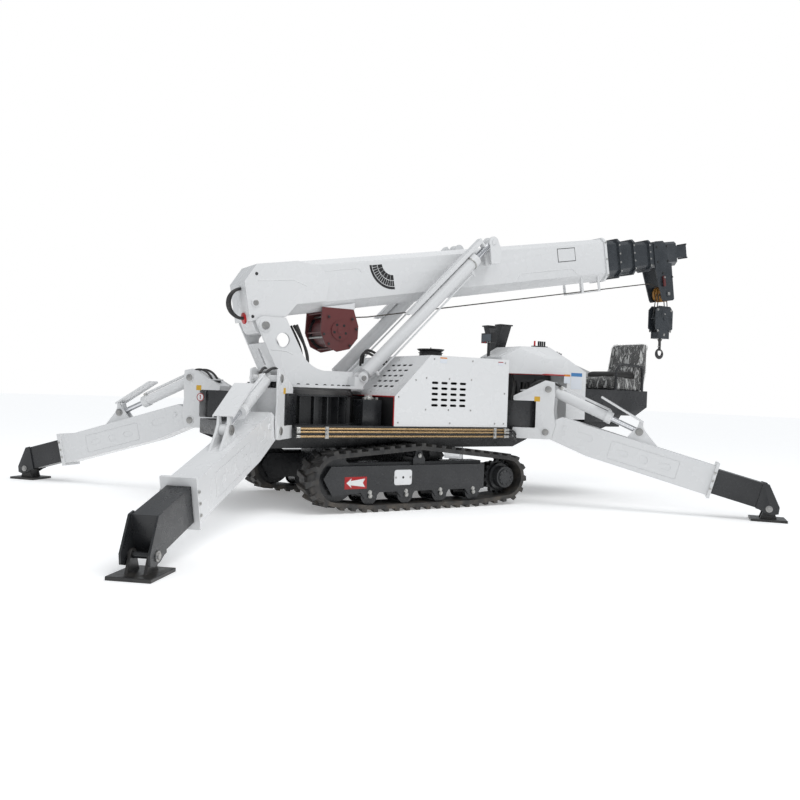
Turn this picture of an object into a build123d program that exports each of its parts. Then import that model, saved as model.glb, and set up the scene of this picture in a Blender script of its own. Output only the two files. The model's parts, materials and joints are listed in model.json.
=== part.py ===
"""Mini crawler crane: rubber tracks, four folding outrigger legs and a five-part boom.

Millimetres. X runs along the machine towards the boom tip, Y runs across it, Z is up.
The tracks and the four foot pads stand on Z = 0. The machine is modelled about the middle
of its track frames and is moved at the end, so that the origin is the middle of its base.
"""
from build123d import *
from math import acos, atan2, cos, degrees, hypot, pi, radians, sin, tan
import os

# Running clearances
RUN = 0.3            # sliding pads, pins in bushes, pieces seated beside each other
PIN_RUN = 0.1        # radial clearance of a pin in its bore

# Tracks
TRACK_FRONT = -1015.0      # front of the belt, lugs included
TRACK_REAR = 1255.0        # rear of the belt, lugs included
TRACK_OUTER = 854.0        # outer face of the belt from the middle of the machine
TRACK_WIDTH = 320.0
IDLER_TOP = 526.0          # height of the belt over the idler, lugs included
SPROCKET_TOP = 490.0       # the same over the drive sprocket
CARRIER_TOP = 592.0        # the same over the carrier roller
CARRIER_X = 57.0
BELT_THICK = 36.0
LUG_HEIGHT = 24.0
LUG_PITCH = 108.0
LUG_WIDTH = 44.0
LUG_SKEW = 46.0            # how far a lug leans along the belt from its root to its outer end
LUG_SPLIT = 6.0            # half of the plain strip along the middle of the belt
LUG_ROOT = 8.0
IDLER_LIFT = 34.0          # how far the belt lifts off the floor under idler and sprocket
BELT_SEAT = 0.3            # gap between the belt and the wheels that carry it

# Track frames
FRAME_TOP = 398.0
FRAME_BOTTOM = 138.0
FRAME_FRONT = -850.0
FRAME_REAR = 762.0
FRAME_PLATE = 14.0
FRAME_SET_IN = 22.0        # how far the frame's plates lie inside the edges of the belt
ROLLER_RADIUS = 80.0
ROLLER_COUNT = 4
ROLLER_FIRST = -460.0
ROLLER_LAST = 638.0
ROLLER_GUARD = 92.0        # half length of a scallop of the roller guard
HUB_RADIUS = 100.0
CARRIER_RADIUS = 40.0
SPROCKET_TEETH = 15
TOOTH_HEIGHT = 22.0

# Chassis
CHASSIS_FRONT = -1550.0
CHASSIS_REAR = 1552.0
CHASSIS_BOTTOM = 530.0
CHASSIS_END_Z = 606.0      # the bottom slants up to this height at both ends
CHASSIS_SLANT = 185.0
DECK_TOP = 738.0
DECK_THICK = 22.0
DECK_HALF = 793.0
SKIRT_BOTTOM = 632.0
SKIRT_THICK = 16.0
KEEL_HALF = 500.0
PLATE = 12.0               # common plate thickness of boxes and shells

# Slewing
SLEW_X = -780.0
RING_TOP = 1055.0
RING_HEIGHT = 60.0
RING_RADIUS = 492.0
RIB_THICK = 14.0

# Swing axes of the legs
SWING_X = 1320.0
SWING_Y = 742.0
LEG_ANGLE = 49.5           # plan angle of the legs from the X axis, as parked
SWING_PIN = 40.0
ARM_HALF = 100.0           # half width of a corner arm, and the radius of its end
ARM_TOP = 1000.0
ARM_BOTTOM = 741.0
ARM_LENGTH = 262.0
SWING_ROOM = 166.0         # radius kept free about a swing axis for the bracket's arms
ARM_CROSS = 1.0            # gap between a corner arm and the bracket's arms over and under it

# Deck and rear platform
DECK_FRONT = -1290.0
DECK_REAR = 1060.0
CROSS_PLACES = (-460.0, 430.0)
CROSS_BOTTOM = 300.0
CROSS_TOP = 392.0
RIB_COUNT = 24
PLATFORM_REAR = 2620.0
PLATFORM_TOP = 800.0
PLATFORM_NEAR = -740.0
PLATFORM_FAR = 560.0
PLATFORM_WIDENS = 1880.0   # the platform is narrower before this, where the leg swings
PLATFORM_NARROW = -560.0

# Pipes along the deck
PIPE_RADIUS = 9.0
PIPE_OFF = 5.0
PIPE_HEIGHTS = (714.0, 688.0, 650.0)
PIPE_FRONT = -1146.0
PIPE_REAR = 1030.0
PIPE_CLAMPS = (-880.0, 887.0)

# Engine hood
HOOD_FRONT = -220.0
HOOD_NOSE_Z = 1000.0       # top of the upright front face
HOOD_SLANT = 370.0         # length of the slanted panel along X
HOOD_TOP = 1386.0
HOOD_REAR = 1048.0
HOOD_SHEET = 8.0
VENT_ROWS = 5
VENT_COLUMNS = 4
VENT_LENGTH = 70.0
VENT_HEIGHT = 22.0
VENT_PITCH = 103.0
VENT_ROW_PITCH = 51.0
VENT_X = 358.0             # middle of the side vents
VENT_Z = 1035.0
CAP_X = 665.0
CAP_RADIUS = 128.0
CAP_HEIGHT = 84.0

# Boom rest
REST_X = 1512.0
REST_TOP = 1796.0
REST_FORK_Z = 1620.0
REST_HALF = 66.0
REST_REACH = 112.0         # middle of a cradle pad from the middle of the boom

# Driver's place
CONSOLE_FRONT = 1132.0
CONSOLE_BEND = 1532.0      # where the near face bends forwards
CONSOLE_REAR = 2090.0
CONSOLE_NEAR = -765.0
CONSOLE_FAR = -230.0
CONSOLE_BASE = 1266.0
CONSOLE_BAND = 1428.0      # top of the upright band
CONSOLE_TOP = 1552.0
BANK_SET_BACK = 180.0      # the valve bank starts this far behind the console's front
BANK_SLOTS = 6
TANK_FRONT = 1620.0
TANK_REAR = 2300.0
TANK_NEAR = 120.0
TANK_TOP = 1290.0
BOX_FRONT = 2096.0
BOX_REAR = 3014.0
BOX_TOP = 1141.0
BOX_FAR = -262.0
SEAT_WIDTH = 450.0
SEAT_Y = -492.0
SEAT_FRONT = 2500.0
SEAT_REAR = 3040.0
SEAT_TOP = 1662.0
PAN_TOP = 1282.0
RAIL_RADIUS = 14.0
RAIL_TOP = 1420.0
SLANT_VENT_Y = -430.0
LEVERS_TOP = (1560.0, 1612.0, 1638.0, 1664.0, 1692.0)
LEVER_Y = -560.0
DISPLAY_Y = -330.0

# Tower
PIVOT_X = -1221.0          # pin of the boom
PIVOT_Z = 1585.0
PIVOT_PIN = 36.0
TOWER_INNER = 200.0        # inner face of a tower plate from the middle
TOWER_PLATE = 25.0
EAR_RADIUS = 82.0
TOWER_HOLE = (-1050.0, 1470.0)
TOWER_HOLE_RADIUS = 63.0
TURNTABLE_THICK = 24.0
TURNTABLE_RADIUS = 488.0
TURNTABLE_REACH = 598.0    # swept radius of the turntable's front corners
TOWER_DECK_Z = 1214.0      # top of the low front part of the tower plates

# Boom: 'a' runs along it from its pin, 'n' stands square to it
BOOM_ANGLE = 10.3
BOOM_PIN_TO_SIDE = 70.0    # from the pin to the underside
BOOM_WALL = 8.0
SECTIONS = [               # width, height, end of each section along the boom
    (340.0, 470.0, 4280.0),
    (300.0, 415.0, 4520.0),
    (265.0, 375.0, 4780.0),
    (230.0, 335.0, 5070.0),
    (195.0, 295.0, 5560.0),
]
SECTION_TAIL = 500.0       # rear end of the second section, the others follow in steps
TAIL_STEP = 60.0
COLLAR_THICK = 34.0
COLLAR_RIM = 20.0
PAD_LENGTH = 90.0
ROOT_PLATE = 20.0
ROOT_REAR = -120.0
ROOT_LUG = 72.0

ROOT_LUG_HALF = 150.0
BELLY = 80.0               # height of the slanted lower faces of the base section
SHOULDER = 46.0            # size of its upper bevels
HOOP = (3860.0, 4150.0, 120.0)       # rear, front and depth of the rope hoop
HOOP_HALF = 150.0

# Luffing cylinders
GUARD_LENGTH = 1180.0
GUARD_HALF = 34.0
LUFF_Y = 300.0
LUFF_LOW = (-300.0, 1160.0)          # lower pin, x and z
LUFF_HIGH = (2518.0, 567.0)          # upper pin, a and n
LUFF_BARREL = 62.0
LUFF_BORE = 48.0
LUFF_ROD = 34.0
LUFF_BARREL_LENGTH = 1780.0
LUFF_EYE = 46.0
LUFF_EYE_WIDTH = 76.0
LUFF_PIN = 24.0
LUFF_EAR = 16.0            # thickness of a clevis plate
LUFF_EAR_GAP = 2.0
LUFF_ROD_TAIL = 1530.0     # length of the rod inside and outside the barrel

# Head and hook
HEAD_PIN = (5335.0, -178.0)
HEAD_PLATE = 16.0
HEAD_HALF = 108.0          # outer face of a head plate from the middle
SHEAVE_RADIUS = 96.0
SHEAVE_WIDTH = 30.0
SHEAVE_PITCH = 44.0
JIB_END = 5790.0
ROPE_RADIUS = 6.0
FALL_AT_HEAD = 91.0        # from the middle of the head pin to a rope fall's middle
FALL_IN_BLOCK = 111.0      # the same from the hook block's sheave pin
BLOCK_TOP = 2212.0
BLOCK_BOTTOM = 1812.0
BLOCK_LENGTH = 300.0
BLOCK_HALF = 62.0
BLOCK_PLATE = 14.0
HOOK_BOTTOM = 1559.0
HOOK_RADIUS = 52.0
HOOK_THICK = 44.0

# Winch
WINCH_X = -470.0
WINCH_Z = 1592.0
WINCH_RADIUS = 196.0
WINCH_HALF = 176.0
DRUM_RADIUS = 120.0
WINCH_RISE = 12.0          # the winch's side plates stand over its round part by this much

# Legs, in the plane of each leg: h outwards from the swing axis, z up
LEG_LOW_PIN = (214.0, 703.0)
LEG_HIGH_PIN = (229.0, 1116.0)
LEG_DROP = 14.8            # how far the leg slopes down as parked
BRACKET_HALF = 116.0       # outer face of a bracket plate
BRACKET_PLATE = 14.0
BRACKET_ARM = 96.0         # height of the bracket's arms over and under the corner arm
BRACKET_BACK = 106.0
BEAM_HALF = 95.0
BEAM_WALL = 10.0
BEAM_LENGTH = 1577.0
COLLAR = 27.0
ROD_EYE = (825.0, 260.0)   # pin of the rod's eye, along and square to the beam
EXTENSION_HALF = 78.0
EXTENSION_LOW = -86.0
EXTENSION_HIGH = 142.0
EXTENSION_TAIL = 800.0
FOOT_PIN_T = -62.0         # foot pin square to the beam
FOOT_PIN_Z = 112.0
FOOT_PIN = 18.0
PAD_LONG = 300.0
PAD_WIDE = 260.0
PAD_THICK = 22.0
LEG_PIN = 26.0
LEG_BARREL = 50.0
LEG_BORE = 38.0
LEG_ROD = 26.0
LEG_BARREL_LENGTH = 647.0
LEG_EYE = 44.0
LEG_EYE_WIDTH = 50.0

LEG_ROD_TAIL = 620.0
BEAM_SOLID = 430.0         # the beam is solid up to here from its pin
CHEEK_BACK = 110.0
CHEEK_HALF = 90.0
CHEEK_PLATE = 13.0
FOOT_LUG = 55.0
GUARD_PLATE = 451.0
GUARD_LEAN = 15.4
GUARD_WIDE = 150.0
GUARD_SHEET = 6.0
SHEAVE_COUNT = 3
SHEAVE_PIN = 20.0
JIB_WIDTH = 120.0
JIB_HEIGHT = 150.0
JIB_RISE = 20.0
HOOK_SHANK = 17.0
HOOK_COLLAR = 27.0
LEGS = {"front_left": (-1, -1), "front_right": (-1, 1), "rear_left": (1, -1), "rear_right": (1, 1)}


def block(x0, x1, y0, y1, z0, z1):
    """A box given by its limits."""
    return Pos(x0, y0, z0) * Box(x1 - x0, y1 - y0, z1 - z0, align=(Align.MIN, Align.MIN, Align.MIN))


def side_face(points):
    """A flat face with corners (x, z), drawn in local coordinates."""
    return make_face(Polyline(*points, close=True))


def across(face, y0, y1):
    """A local (x, z) face stretched from y0 to y1 across the machine."""
    return extrude(Plane(origin=(0, y1, 0), x_dir=(1, 0, 0), z_dir=(0, -1, 0)) * face, amount=y1 - y0)


def plate(points, y0, y1):
    """A plate with corners (x, z) between y0 and y1."""
    return across(side_face(points), y0, y1)


def rod(start, end, radius):
    """A round bar between two points."""
    start, end = Vector(*start), Vector(*end)
    return Solid.make_cylinder(radius, (end - start).length, Plane(origin=start, z_dir=end - start))


def pin_y(x, z, radius, y0, y1):
    """A round bar that lies across the machine."""
    return rod((x, y0, z), (x, y1, z), radius)


def mirrored(shape):
    """The same shape on the other side of the machine."""
    return mirror(shape, about=Plane.XZ)


def union(shapes):
    """One shape from a list, joined where they meet."""
    result = shapes[0]
    for shape in shapes[1:]:
        result = result + shape
    return result


def hull_outline(circles):
    """The outline of a belt around circles (x, z, r), given clockwise from the front."""
    edges = []
    count = len(circles)
    tangents = []
    for i in range(count):
        x0, z0, r0 = circles[i]
        x1, z1, r1 = circles[(i + 1) % count]
        run = hypot(x1 - x0, z1 - z0)
        base = atan2(z1 - z0, x1 - x0)
        lean = base + acos((r0 - r1) / run)
        tangents.append(((x0 + r0 * cos(lean), z0 + r0 * sin(lean)),
                         (x1 + r1 * cos(lean), z1 + r1 * sin(lean)), lean))
    for i in range(count):
        x, z, r = circles[i]
        start_lean = tangents[i - 1][2]
        end_lean = tangents[i][2]
        turn = (start_lean - end_lean) % (2 * pi)
        middle = start_lean - turn / 2
        begin, finish = tangents[i - 1][1], tangents[i][0]
        if r > 1e-6 and turn > 1e-3:
            edges.append(ThreePointArc(begin, (x + r * cos(middle), z + r * sin(middle)), finish))
        edges.append(Line(finish, tangents[i][1]))
    return edges


def belt_face(circles, offset):
    """A face inside the belt outline, offset outwards from the circles."""
    return make_face(Wire(hull_outline([(x, z, r + offset) for x, z, r in circles])))


# Circles the belt runs over, clockwise from the front: idler, carrier, sprocket, last and first roller
BELT_STACK = BELT_THICK + LUG_HEIGHT
IDLER_RADIUS = (IDLER_TOP - IDLER_LIFT) / 2 - BELT_STACK
IDLER_Z = (IDLER_TOP + IDLER_LIFT) / 2
IDLER_X = TRACK_FRONT + IDLER_RADIUS + BELT_STACK
SPROCKET_RADIUS = (SPROCKET_TOP - IDLER_LIFT) / 2 - BELT_STACK
SPROCKET_Z = (SPROCKET_TOP + IDLER_LIFT) / 2
SPROCKET_X = TRACK_REAR - SPROCKET_RADIUS - BELT_STACK
CARRIER_Z = CARRIER_TOP - BELT_STACK - CARRIER_RADIUS
ROLLER_Z = BELT_STACK + ROLLER_RADIUS
BELT_CIRCLES = [
    (IDLER_X, IDLER_Z, IDLER_RADIUS),
    (CARRIER_X, CARRIER_Z, CARRIER_RADIUS),
    (SPROCKET_X, SPROCKET_Z, SPROCKET_RADIUS),
    (ROLLER_LAST, ROLLER_Z, ROLLER_RADIUS),
    (ROLLER_FIRST, ROLLER_Z, ROLLER_RADIUS),
]
TRACK_MID = TRACK_OUTER - TRACK_WIDTH / 2


def lug_places(pitch):
    """Points and directions along the outside of the belt, evenly spaced."""
    path = Wire(hull_outline([(x, z, r + BELT_THICK) for x, z, r in BELT_CIRCLES]))
    count = int(path.length / pitch)
    places = []
    for i in range(count):
        place = path @ (i / count)
        along = path % (i / count)
        places.append((place.X, place.Y, degrees(atan2(along.Y, along.X))))
    return places


def track(side):
    """Rubber belt with chevron lugs, drawn in the X-Z plane of one side."""
    y_mid = side * TRACK_MID
    half = TRACK_WIDTH / 2
    belt = across(belt_face(BELT_CIRCLES, BELT_THICK) - belt_face(BELT_CIRCLES, 0), y_mid - half,
                  y_mid + half)
    wide = LUG_WIDTH / 2
    plan = side_face([(-wide, LUG_SPLIT), (wide, LUG_SPLIT), (wide + LUG_SKEW, half),
                      (LUG_SKEW - wide, half)])
    far_lug = Pos(0, 0, -LUG_ROOT) * extrude(plan, amount=LUG_ROOT + LUG_HEIGHT)
    near_lug = mirrored(far_lug)
    above_floor = block(TRACK_FRONT, TRACK_REAR, y_mid - half, y_mid + half, 0, CARRIER_TOP)
    lugs = []
    for i, (x, z, angle) in enumerate(lug_places(LUG_PITCH / 2)):
        lug = Pos(x, y_mid, z) * Rot(0, -angle, 0) * (near_lug if i % 2 else far_lug)
        lugs.append(lug & above_floor if z < BELT_STACK else lug)
    return belt + lugs


def roller(x, z, radius, y0, y1, flange):
    """A track roller with a raised flange at each end, on its shaft."""
    wheel = pin_y(x, z, radius, y0, y1)
    grooved = wheel - (pin_y(x, z, radius + flange, y0 + flange, y1 - flange)
                       - pin_y(x, z, radius - flange, y0, y1))
    return grooved


def frame_outline():
    """Side outline of the track frame with its scalloped roller guards."""
    nose = FRAME_FRONT
    points = [(nose + 30, FRAME_BOTTOM + 8), (nose - 55, IDLER_Z + 15), (nose, FRAME_TOP - 20),
              (nose + 16, FRAME_TOP), (FRAME_REAR, FRAME_TOP), (FRAME_REAR, FRAME_BOTTOM + 30)]
    pitch = (ROLLER_LAST - ROLLER_FIRST) / (ROLLER_COUNT - 1)
    for i in reversed(range(ROLLER_COUNT)):
        x = ROLLER_FIRST + i * pitch
        guard = ROLLER_GUARD
        points += [(x + guard, FRAME_BOTTOM + 30), (x + guard * 0.55, FRAME_BOTTOM - 24),
                   (x - guard * 0.55, FRAME_BOTTOM - 24), (x - guard, FRAME_BOTTOM + 30)]
    return points


def track_frame(side):
    """Box frame between the runs of the belt, with rollers, idler, carrier and drive sprocket."""
    inner = TRACK_OUTER - TRACK_WIDTH + FRAME_SET_IN
    outer = TRACK_OUTER - FRAME_SET_IN
    outline = side_face(frame_outline())
    walls = across(outline, outer - FRAME_PLATE, outer) + across(outline, inner, inner + FRAME_PLATE)
    top = plate([(FRAME_FRONT + 60, FRAME_TOP - FRAME_PLATE), (FRAME_REAR, FRAME_TOP - FRAME_PLATE),
                 (FRAME_REAR, FRAME_TOP), (FRAME_FRONT + 60, FRAME_TOP)], inner, outer)
    ridge = plate([(FRAME_FRONT + 60, FRAME_TOP - FRAME_PLATE), (FRAME_REAR, FRAME_TOP - FRAME_PLATE),
                   (FRAME_REAR, FRAME_TOP + 26), (FRAME_FRONT + 60, FRAME_TOP + 26)], inner + 60,
                  outer - 60)
    solids = [walls, top, ridge]
    pitch = (ROLLER_LAST - ROLLER_FIRST) / (ROLLER_COUNT - 1)
    for i in range(ROLLER_COUNT):
        x = ROLLER_FIRST + i * pitch
        solids.append(roller(x, ROLLER_Z, ROLLER_RADIUS - BELT_SEAT, inner + FRAME_PLATE,
                             outer - FRAME_PLATE, 14))
        solids.append(pin_y(x, ROLLER_Z, 17, outer - FRAME_PLATE, outer + 10))
    idler = pin_y(IDLER_X, IDLER_Z, IDLER_RADIUS - BELT_SEAT, inner + 50, outer - 50)
    fork = plate([(IDLER_X - 60, IDLER_Z - 45), (IDLER_X + 260, IDLER_Z - 45),
                  (IDLER_X + 260, IDLER_Z + 45), (IDLER_X - 60, IDLER_Z + 45)], inner + FRAME_PLATE,
                 outer - FRAME_PLATE)
    solids += [idler, fork]
    carrier = pin_y(CARRIER_X, CARRIER_Z, CARRIER_RADIUS - BELT_SEAT, inner + 40, outer - 40)
    bracket = plate([(CARRIER_X - 62, FRAME_TOP - 5), (CARRIER_X + 62, FRAME_TOP - 5),
                     (CARRIER_X + 62, FRAME_TOP + 55), (CARRIER_X + 22, CARRIER_Z + 16),
                     (CARRIER_X - 22, CARRIER_Z + 16), (CARRIER_X - 62, FRAME_TOP + 55)], outer - 52,
                    outer - 38)
    solids += [carrier, bracket, mirror(bracket, about=Plane.XZ.offset(-(inner + outer) / 2))]
    solids += [pin_y(CARRIER_X, CARRIER_Z, 14, outer - 40, outer - 30)]
    body = union(solids)
    sprocket = sprocket_wheel(inner, outer)
    motor = pin_y(SPROCKET_X, SPROCKET_Z, HUB_RADIUS + 28, inner - 20, outer - 90)
    mount = plate([(FRAME_REAR - 60, SPROCKET_Z - 120), (SPROCKET_X, SPROCKET_Z - 120),
                   (SPROCKET_X, SPROCKET_Z + 120), (FRAME_REAR - 60, SPROCKET_Z + 120)], inner,
                  inner + 30)
    body = union([body, sprocket, motor, mount])
    return body if side > 0 else mirrored(body)


def sprocket_wheel(inner, outer):
    """Toothed drive wheel that the belt's cores sit on, with its round hub cover."""
    root = SPROCKET_RADIUS - BELT_SEAT - TOOTH_HEIGHT
    points = []
    for i in range(SPROCKET_TEETH):
        middle = 2 * pi * i / SPROCKET_TEETH
        step = 2 * pi / SPROCKET_TEETH
        for share, radius in ((-0.34, root), (-0.12, root + TOOTH_HEIGHT), (0.12, root + TOOTH_HEIGHT),
                              (0.34, root)):
            angle = middle + share * step
            points.append((SPROCKET_X + radius * cos(angle), SPROCKET_Z + radius * sin(angle)))
    wheel = plate(points, outer - 165, outer - 125)
    hub = pin_y(SPROCKET_X, SPROCKET_Z, HUB_RADIUS, outer - 125, outer - 12)
    cap = pin_y(SPROCKET_X, SPROCKET_Z, HUB_RADIUS - 22, outer - 12, outer)
    return union([wheel, hub, cap])


def chassis_outline():
    """Side outline of the chassis box, slanted up at both ends."""
    return [(CHASSIS_FRONT, CHASSIS_END_Z), (CHASSIS_FRONT + CHASSIS_SLANT, CHASSIS_BOTTOM),
            (CHASSIS_REAR - CHASSIS_SLANT, CHASSIS_BOTTOM), (CHASSIS_REAR, CHASSIS_END_Z),
            (CHASSIS_REAR, DECK_TOP), (CHASSIS_FRONT, DECK_TOP)]


def corner_arm(sx, sy):
    """Black box arm from the chassis to a leg's swing pin, rounded about the pin."""
    angle = degrees(atan2(sy * sin(radians(LEG_ANGLE)), sx * cos(radians(LEG_ANGLE))))
    height = ARM_TOP - ARM_BOTTOM
    arm = Pos(-ARM_LENGTH, -ARM_HALF, ARM_BOTTOM) * Box(ARM_LENGTH, 2 * ARM_HALF, height,
                                                        align=(Align.MIN,) * 3)
    foot_height = ARM_BOTTOM - DECK_TOP + 20
    arm_foot = Pos(-ARM_LENGTH, -ARM_HALF, DECK_TOP - 10)
    arm_foot = arm_foot * Box(ARM_LENGTH - SWING_ROOM - 4, 2 * ARM_HALF, foot_height,
                              align=(Align.MIN,) * 3)
    end = Solid.make_cylinder(ARM_HALF, height, Plane(origin=(0, 0, ARM_BOTTOM)))
    low, high = ARM_BOTTOM - BRACKET_ARM, ARM_TOP + BRACKET_ARM
    pin = Solid.make_cylinder(SWING_PIN, high - low, Plane(origin=(0, 0, low)))
    return Pos(sx * SWING_X, sy * SWING_Y, 0) * Rot(0, 0, angle) * union([arm, arm_foot, end, pin])


def chassis_frame():
    """Welded chassis: box, deck with side skirts, corner arms, turntable pedestal and rear seat frame."""
    keel = plate(chassis_outline(), -KEEL_HALF, KEEL_HALF)
    tunnel = plate([(x, z - DECK_THICK) for x, z in chassis_outline()], PLATE - KEEL_HALF,
                   KEEL_HALF - PLATE)
    keel = keel - tunnel
    deck = block(DECK_FRONT, DECK_REAR, -DECK_HALF, DECK_HALF, DECK_TOP - DECK_THICK, DECK_TOP)
    skirt = block(DECK_FRONT, DECK_REAR, -DECK_HALF, SKIRT_THICK - DECK_HALF, SKIRT_BOTTOM, DECK_TOP)
    cross = [block(x - 60, x + 60, -TRACK_OUTER + TRACK_WIDTH - FRAME_SET_IN, TRACK_OUTER - TRACK_WIDTH
                   + FRAME_SET_IN, CROSS_BOTTOM, CROSS_TOP) for x in CROSS_PLACES]
    risers = [block(x - 60, x + 60, -KEEL_HALF + PLATE, KEEL_HALF - PLATE, CROSS_TOP - 20, DECK_TOP - 5)
              for x in CROSS_PLACES]
    ends = [block(x, x + PLATE, -KEEL_HALF, KEEL_HALF, CHASSIS_END_Z, DECK_TOP)
            for x in (CHASSIS_FRONT, CHASSIS_REAR - PLATE)]
    solids = [keel, deck, skirt, mirrored(skirt), *cross, *risers, *ends, pedestal(), rear_frame()]
    rooms = [Pos(sx * SWING_X, sy * SWING_Y, 0) * swing_room() for sx in (-1, 1) for sy in (-1, 1)]
    arms = [corner_arm(sx, sy) for sx in (-1, 1) for sy in (-1, 1)]
    return union([union(solids) - rooms, *arms])


def swing_room():
    """Room about a swing axis that the bracket's lower arm turns in."""
    height = PLATFORM_TOP - SKIRT_BOTTOM + 60
    return Solid.make_cylinder(SWING_ROOM, height, Plane(origin=(0, 0, SKIRT_BOTTOM - 55)))


def pedestal():
    """Ribbed box that carries the slew ring."""
    top = RING_TOP - RING_HEIGHT
    drum = Solid.make_cylinder(RING_RADIUS - 90, top - DECK_TOP + 5,
                               Plane(origin=(SLEW_X, 0, DECK_TOP - 5)))
    lid = Solid.make_cylinder(RING_RADIUS + 6, PLATE + 4, Plane(origin=(SLEW_X, 0, top - PLATE - 4)))
    ribs = []
    for i in range(RIB_COUNT):
        rib = block(RING_RADIUS - 95, RING_RADIUS - 8, -RIB_THICK / 2, RIB_THICK / 2, DECK_TOP - 5, top - 5)
        ribs.append(Pos(SLEW_X, 0, 0) * Rot(0, 0, 360 * (i + 0.5) / RIB_COUNT) * rib)
    return union([drum, lid, *ribs])


def rear_frame():
    """Frame behind the chassis that carries the driver's platform."""
    low, top = DECK_TOP - 60, PLATFORM_TOP
    outline = [(DECK_REAR, low), (PLATFORM_REAR - 420, low), (PLATFORM_REAR - 200, top - 50),
               (PLATFORM_REAR, top - 50), (PLATFORM_REAR, top), (DECK_REAR, top)]
    slab = plate(outline, PLATFORM_NEAR, PLATFORM_FAR)
    return slab - block(DECK_REAR - 1, PLATFORM_WIDENS, PLATFORM_NEAR - 1, PLATFORM_NARROW, low - 1,
                        top + 1)


def slew_ring():
    """Toothed slewing bearing between the pedestal and the turntable."""
    bottom = RING_TOP - RING_HEIGHT + RUN
    outer = Solid.make_cylinder(RING_RADIUS, RING_HEIGHT - 2 * RUN, Plane(origin=(SLEW_X, 0, bottom)))
    bore = Solid.make_cylinder(RING_RADIUS - 80, RING_HEIGHT, Plane(origin=(SLEW_X, 0, bottom - 1)))
    lip = Solid.make_cylinder(RING_RADIUS - 12, RING_HEIGHT * 0.35,
                              Plane(origin=(SLEW_X, 0, RING_TOP - RUN - RING_HEIGHT * 0.35)))
    step = Solid.make_cylinder(RING_RADIUS + 1, RING_HEIGHT * 0.35,
                               Plane(origin=(SLEW_X, 0, RING_TOP - RUN - RING_HEIGHT * 0.35)))
    return outer - (step - lip) - bore


def chassis_pipes():
    """Three hydraulic pipes along each side of the deck, in two clamps."""
    y = -DECK_HALF - PIPE_RADIUS - PIPE_OFF
    solids = []
    for z in PIPE_HEIGHTS:
        solids.append(rod((PIPE_FRONT, y, z), (PIPE_REAR, y, z), PIPE_RADIUS))
    for x in PIPE_CLAMPS:
        solids.append(block(x - 16, x + 16, -DECK_HALF - 2 * PIPE_RADIUS - PIPE_OFF - 4, -DECK_HALF - RUN,
                            PIPE_HEIGHTS[-1] - 18, PIPE_HEIGHTS[0] + 18))
    return union(solids)


def vent_slot(depth):
    """A vent slot with round ends in the X-Y plane, cut through a sheet at Z = 0."""
    return extrude(SlotOverall(VENT_LENGTH, VENT_HEIGHT), amount=depth, both=True)


def engine_hood():
    """Folded sheet hood with vents in its slanted front panel and in its near side."""
    slant_end = HOOD_FRONT + HOOD_SLANT
    outline = [(HOOD_FRONT, DECK_TOP + RUN), (HOOD_FRONT, HOOD_NOSE_Z), (slant_end, HOOD_TOP),
               (HOOD_REAR, HOOD_TOP), (HOOD_REAR, DECK_TOP + RUN)]
    shell = plate(outline, -DECK_HALF, DECK_HALF)
    lean = atan2(HOOD_TOP - HOOD_NOSE_Z, HOOD_SLANT)
    turn = HOOD_SHEET * tan(lean / 2)
    inner = [(HOOD_FRONT + HOOD_SHEET, DECK_TOP - 1),
             (HOOD_FRONT + HOOD_SHEET, HOOD_NOSE_Z - HOOD_SHEET * tan((pi / 2 - lean) / 2)),
             (slant_end + turn, HOOD_TOP - HOOD_SHEET), (HOOD_REAR - HOOD_SHEET, HOOD_TOP - HOOD_SHEET),
             (HOOD_REAR - HOOD_SHEET, DECK_TOP - 1)]
    shell = shell - plate(inner, HOOD_SHEET - DECK_HALF, DECK_HALF - HOOD_SHEET)
    cuts = []
    for row in range(VENT_ROWS):
        for column in range(VENT_COLUMNS):
            x = VENT_X + (column - (VENT_COLUMNS - 1) / 2) * VENT_PITCH
            z = VENT_Z + (row - (VENT_ROWS - 1) / 2) * VENT_ROW_PITCH
            for side in (-1, 1):
                cuts.append(Pos(x, side * DECK_HALF, z) * Rot(90, 0, 0) * vent_slot(2 * HOOD_SHEET))
            along = (0.5 + (row - (VENT_ROWS - 1) / 2) * 0.13) * hypot(HOOD_SLANT, HOOD_TOP - HOOD_NOSE_Z)
            y = SLANT_VENT_Y + (column - (VENT_COLUMNS - 1) / 2) * VENT_PITCH
            panel = Pos(HOOD_FRONT + along * cos(lean), y, HOOD_NOSE_Z + along * sin(lean))
            cuts.append(panel * Rot(0, -degrees(lean), 0) * Rot(0, 0, 90) * vent_slot(2 * HOOD_SHEET))
    return shell - cuts


def intake_cap():
    """Round black pre-cleaner cap on the hood."""
    z = HOOD_TOP + RUN
    bowl = Solid.make_cylinder(CAP_RADIUS - 12, CAP_HEIGHT - 24, Plane(origin=(CAP_X, 0, z)))
    lid = Solid.make_cone(CAP_RADIUS - 8, CAP_RADIUS, 8, Plane(origin=(CAP_X, 0, z + CAP_HEIGHT - 24)))
    top = Solid.make_cone(CAP_RADIUS, 30, 16, Plane(origin=(CAP_X, 0, z + CAP_HEIGHT - 16)))
    knob = Solid.make_cylinder(7, 24, Plane(origin=(CAP_X, 0, z + CAP_HEIGHT - 8)))
    return union([bowl, lid, top, knob])


def engine_block():
    """Plain block for the engine under the hood."""
    return block(180, 900, -330, 330, DECK_TOP + RUN, 1230)


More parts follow.
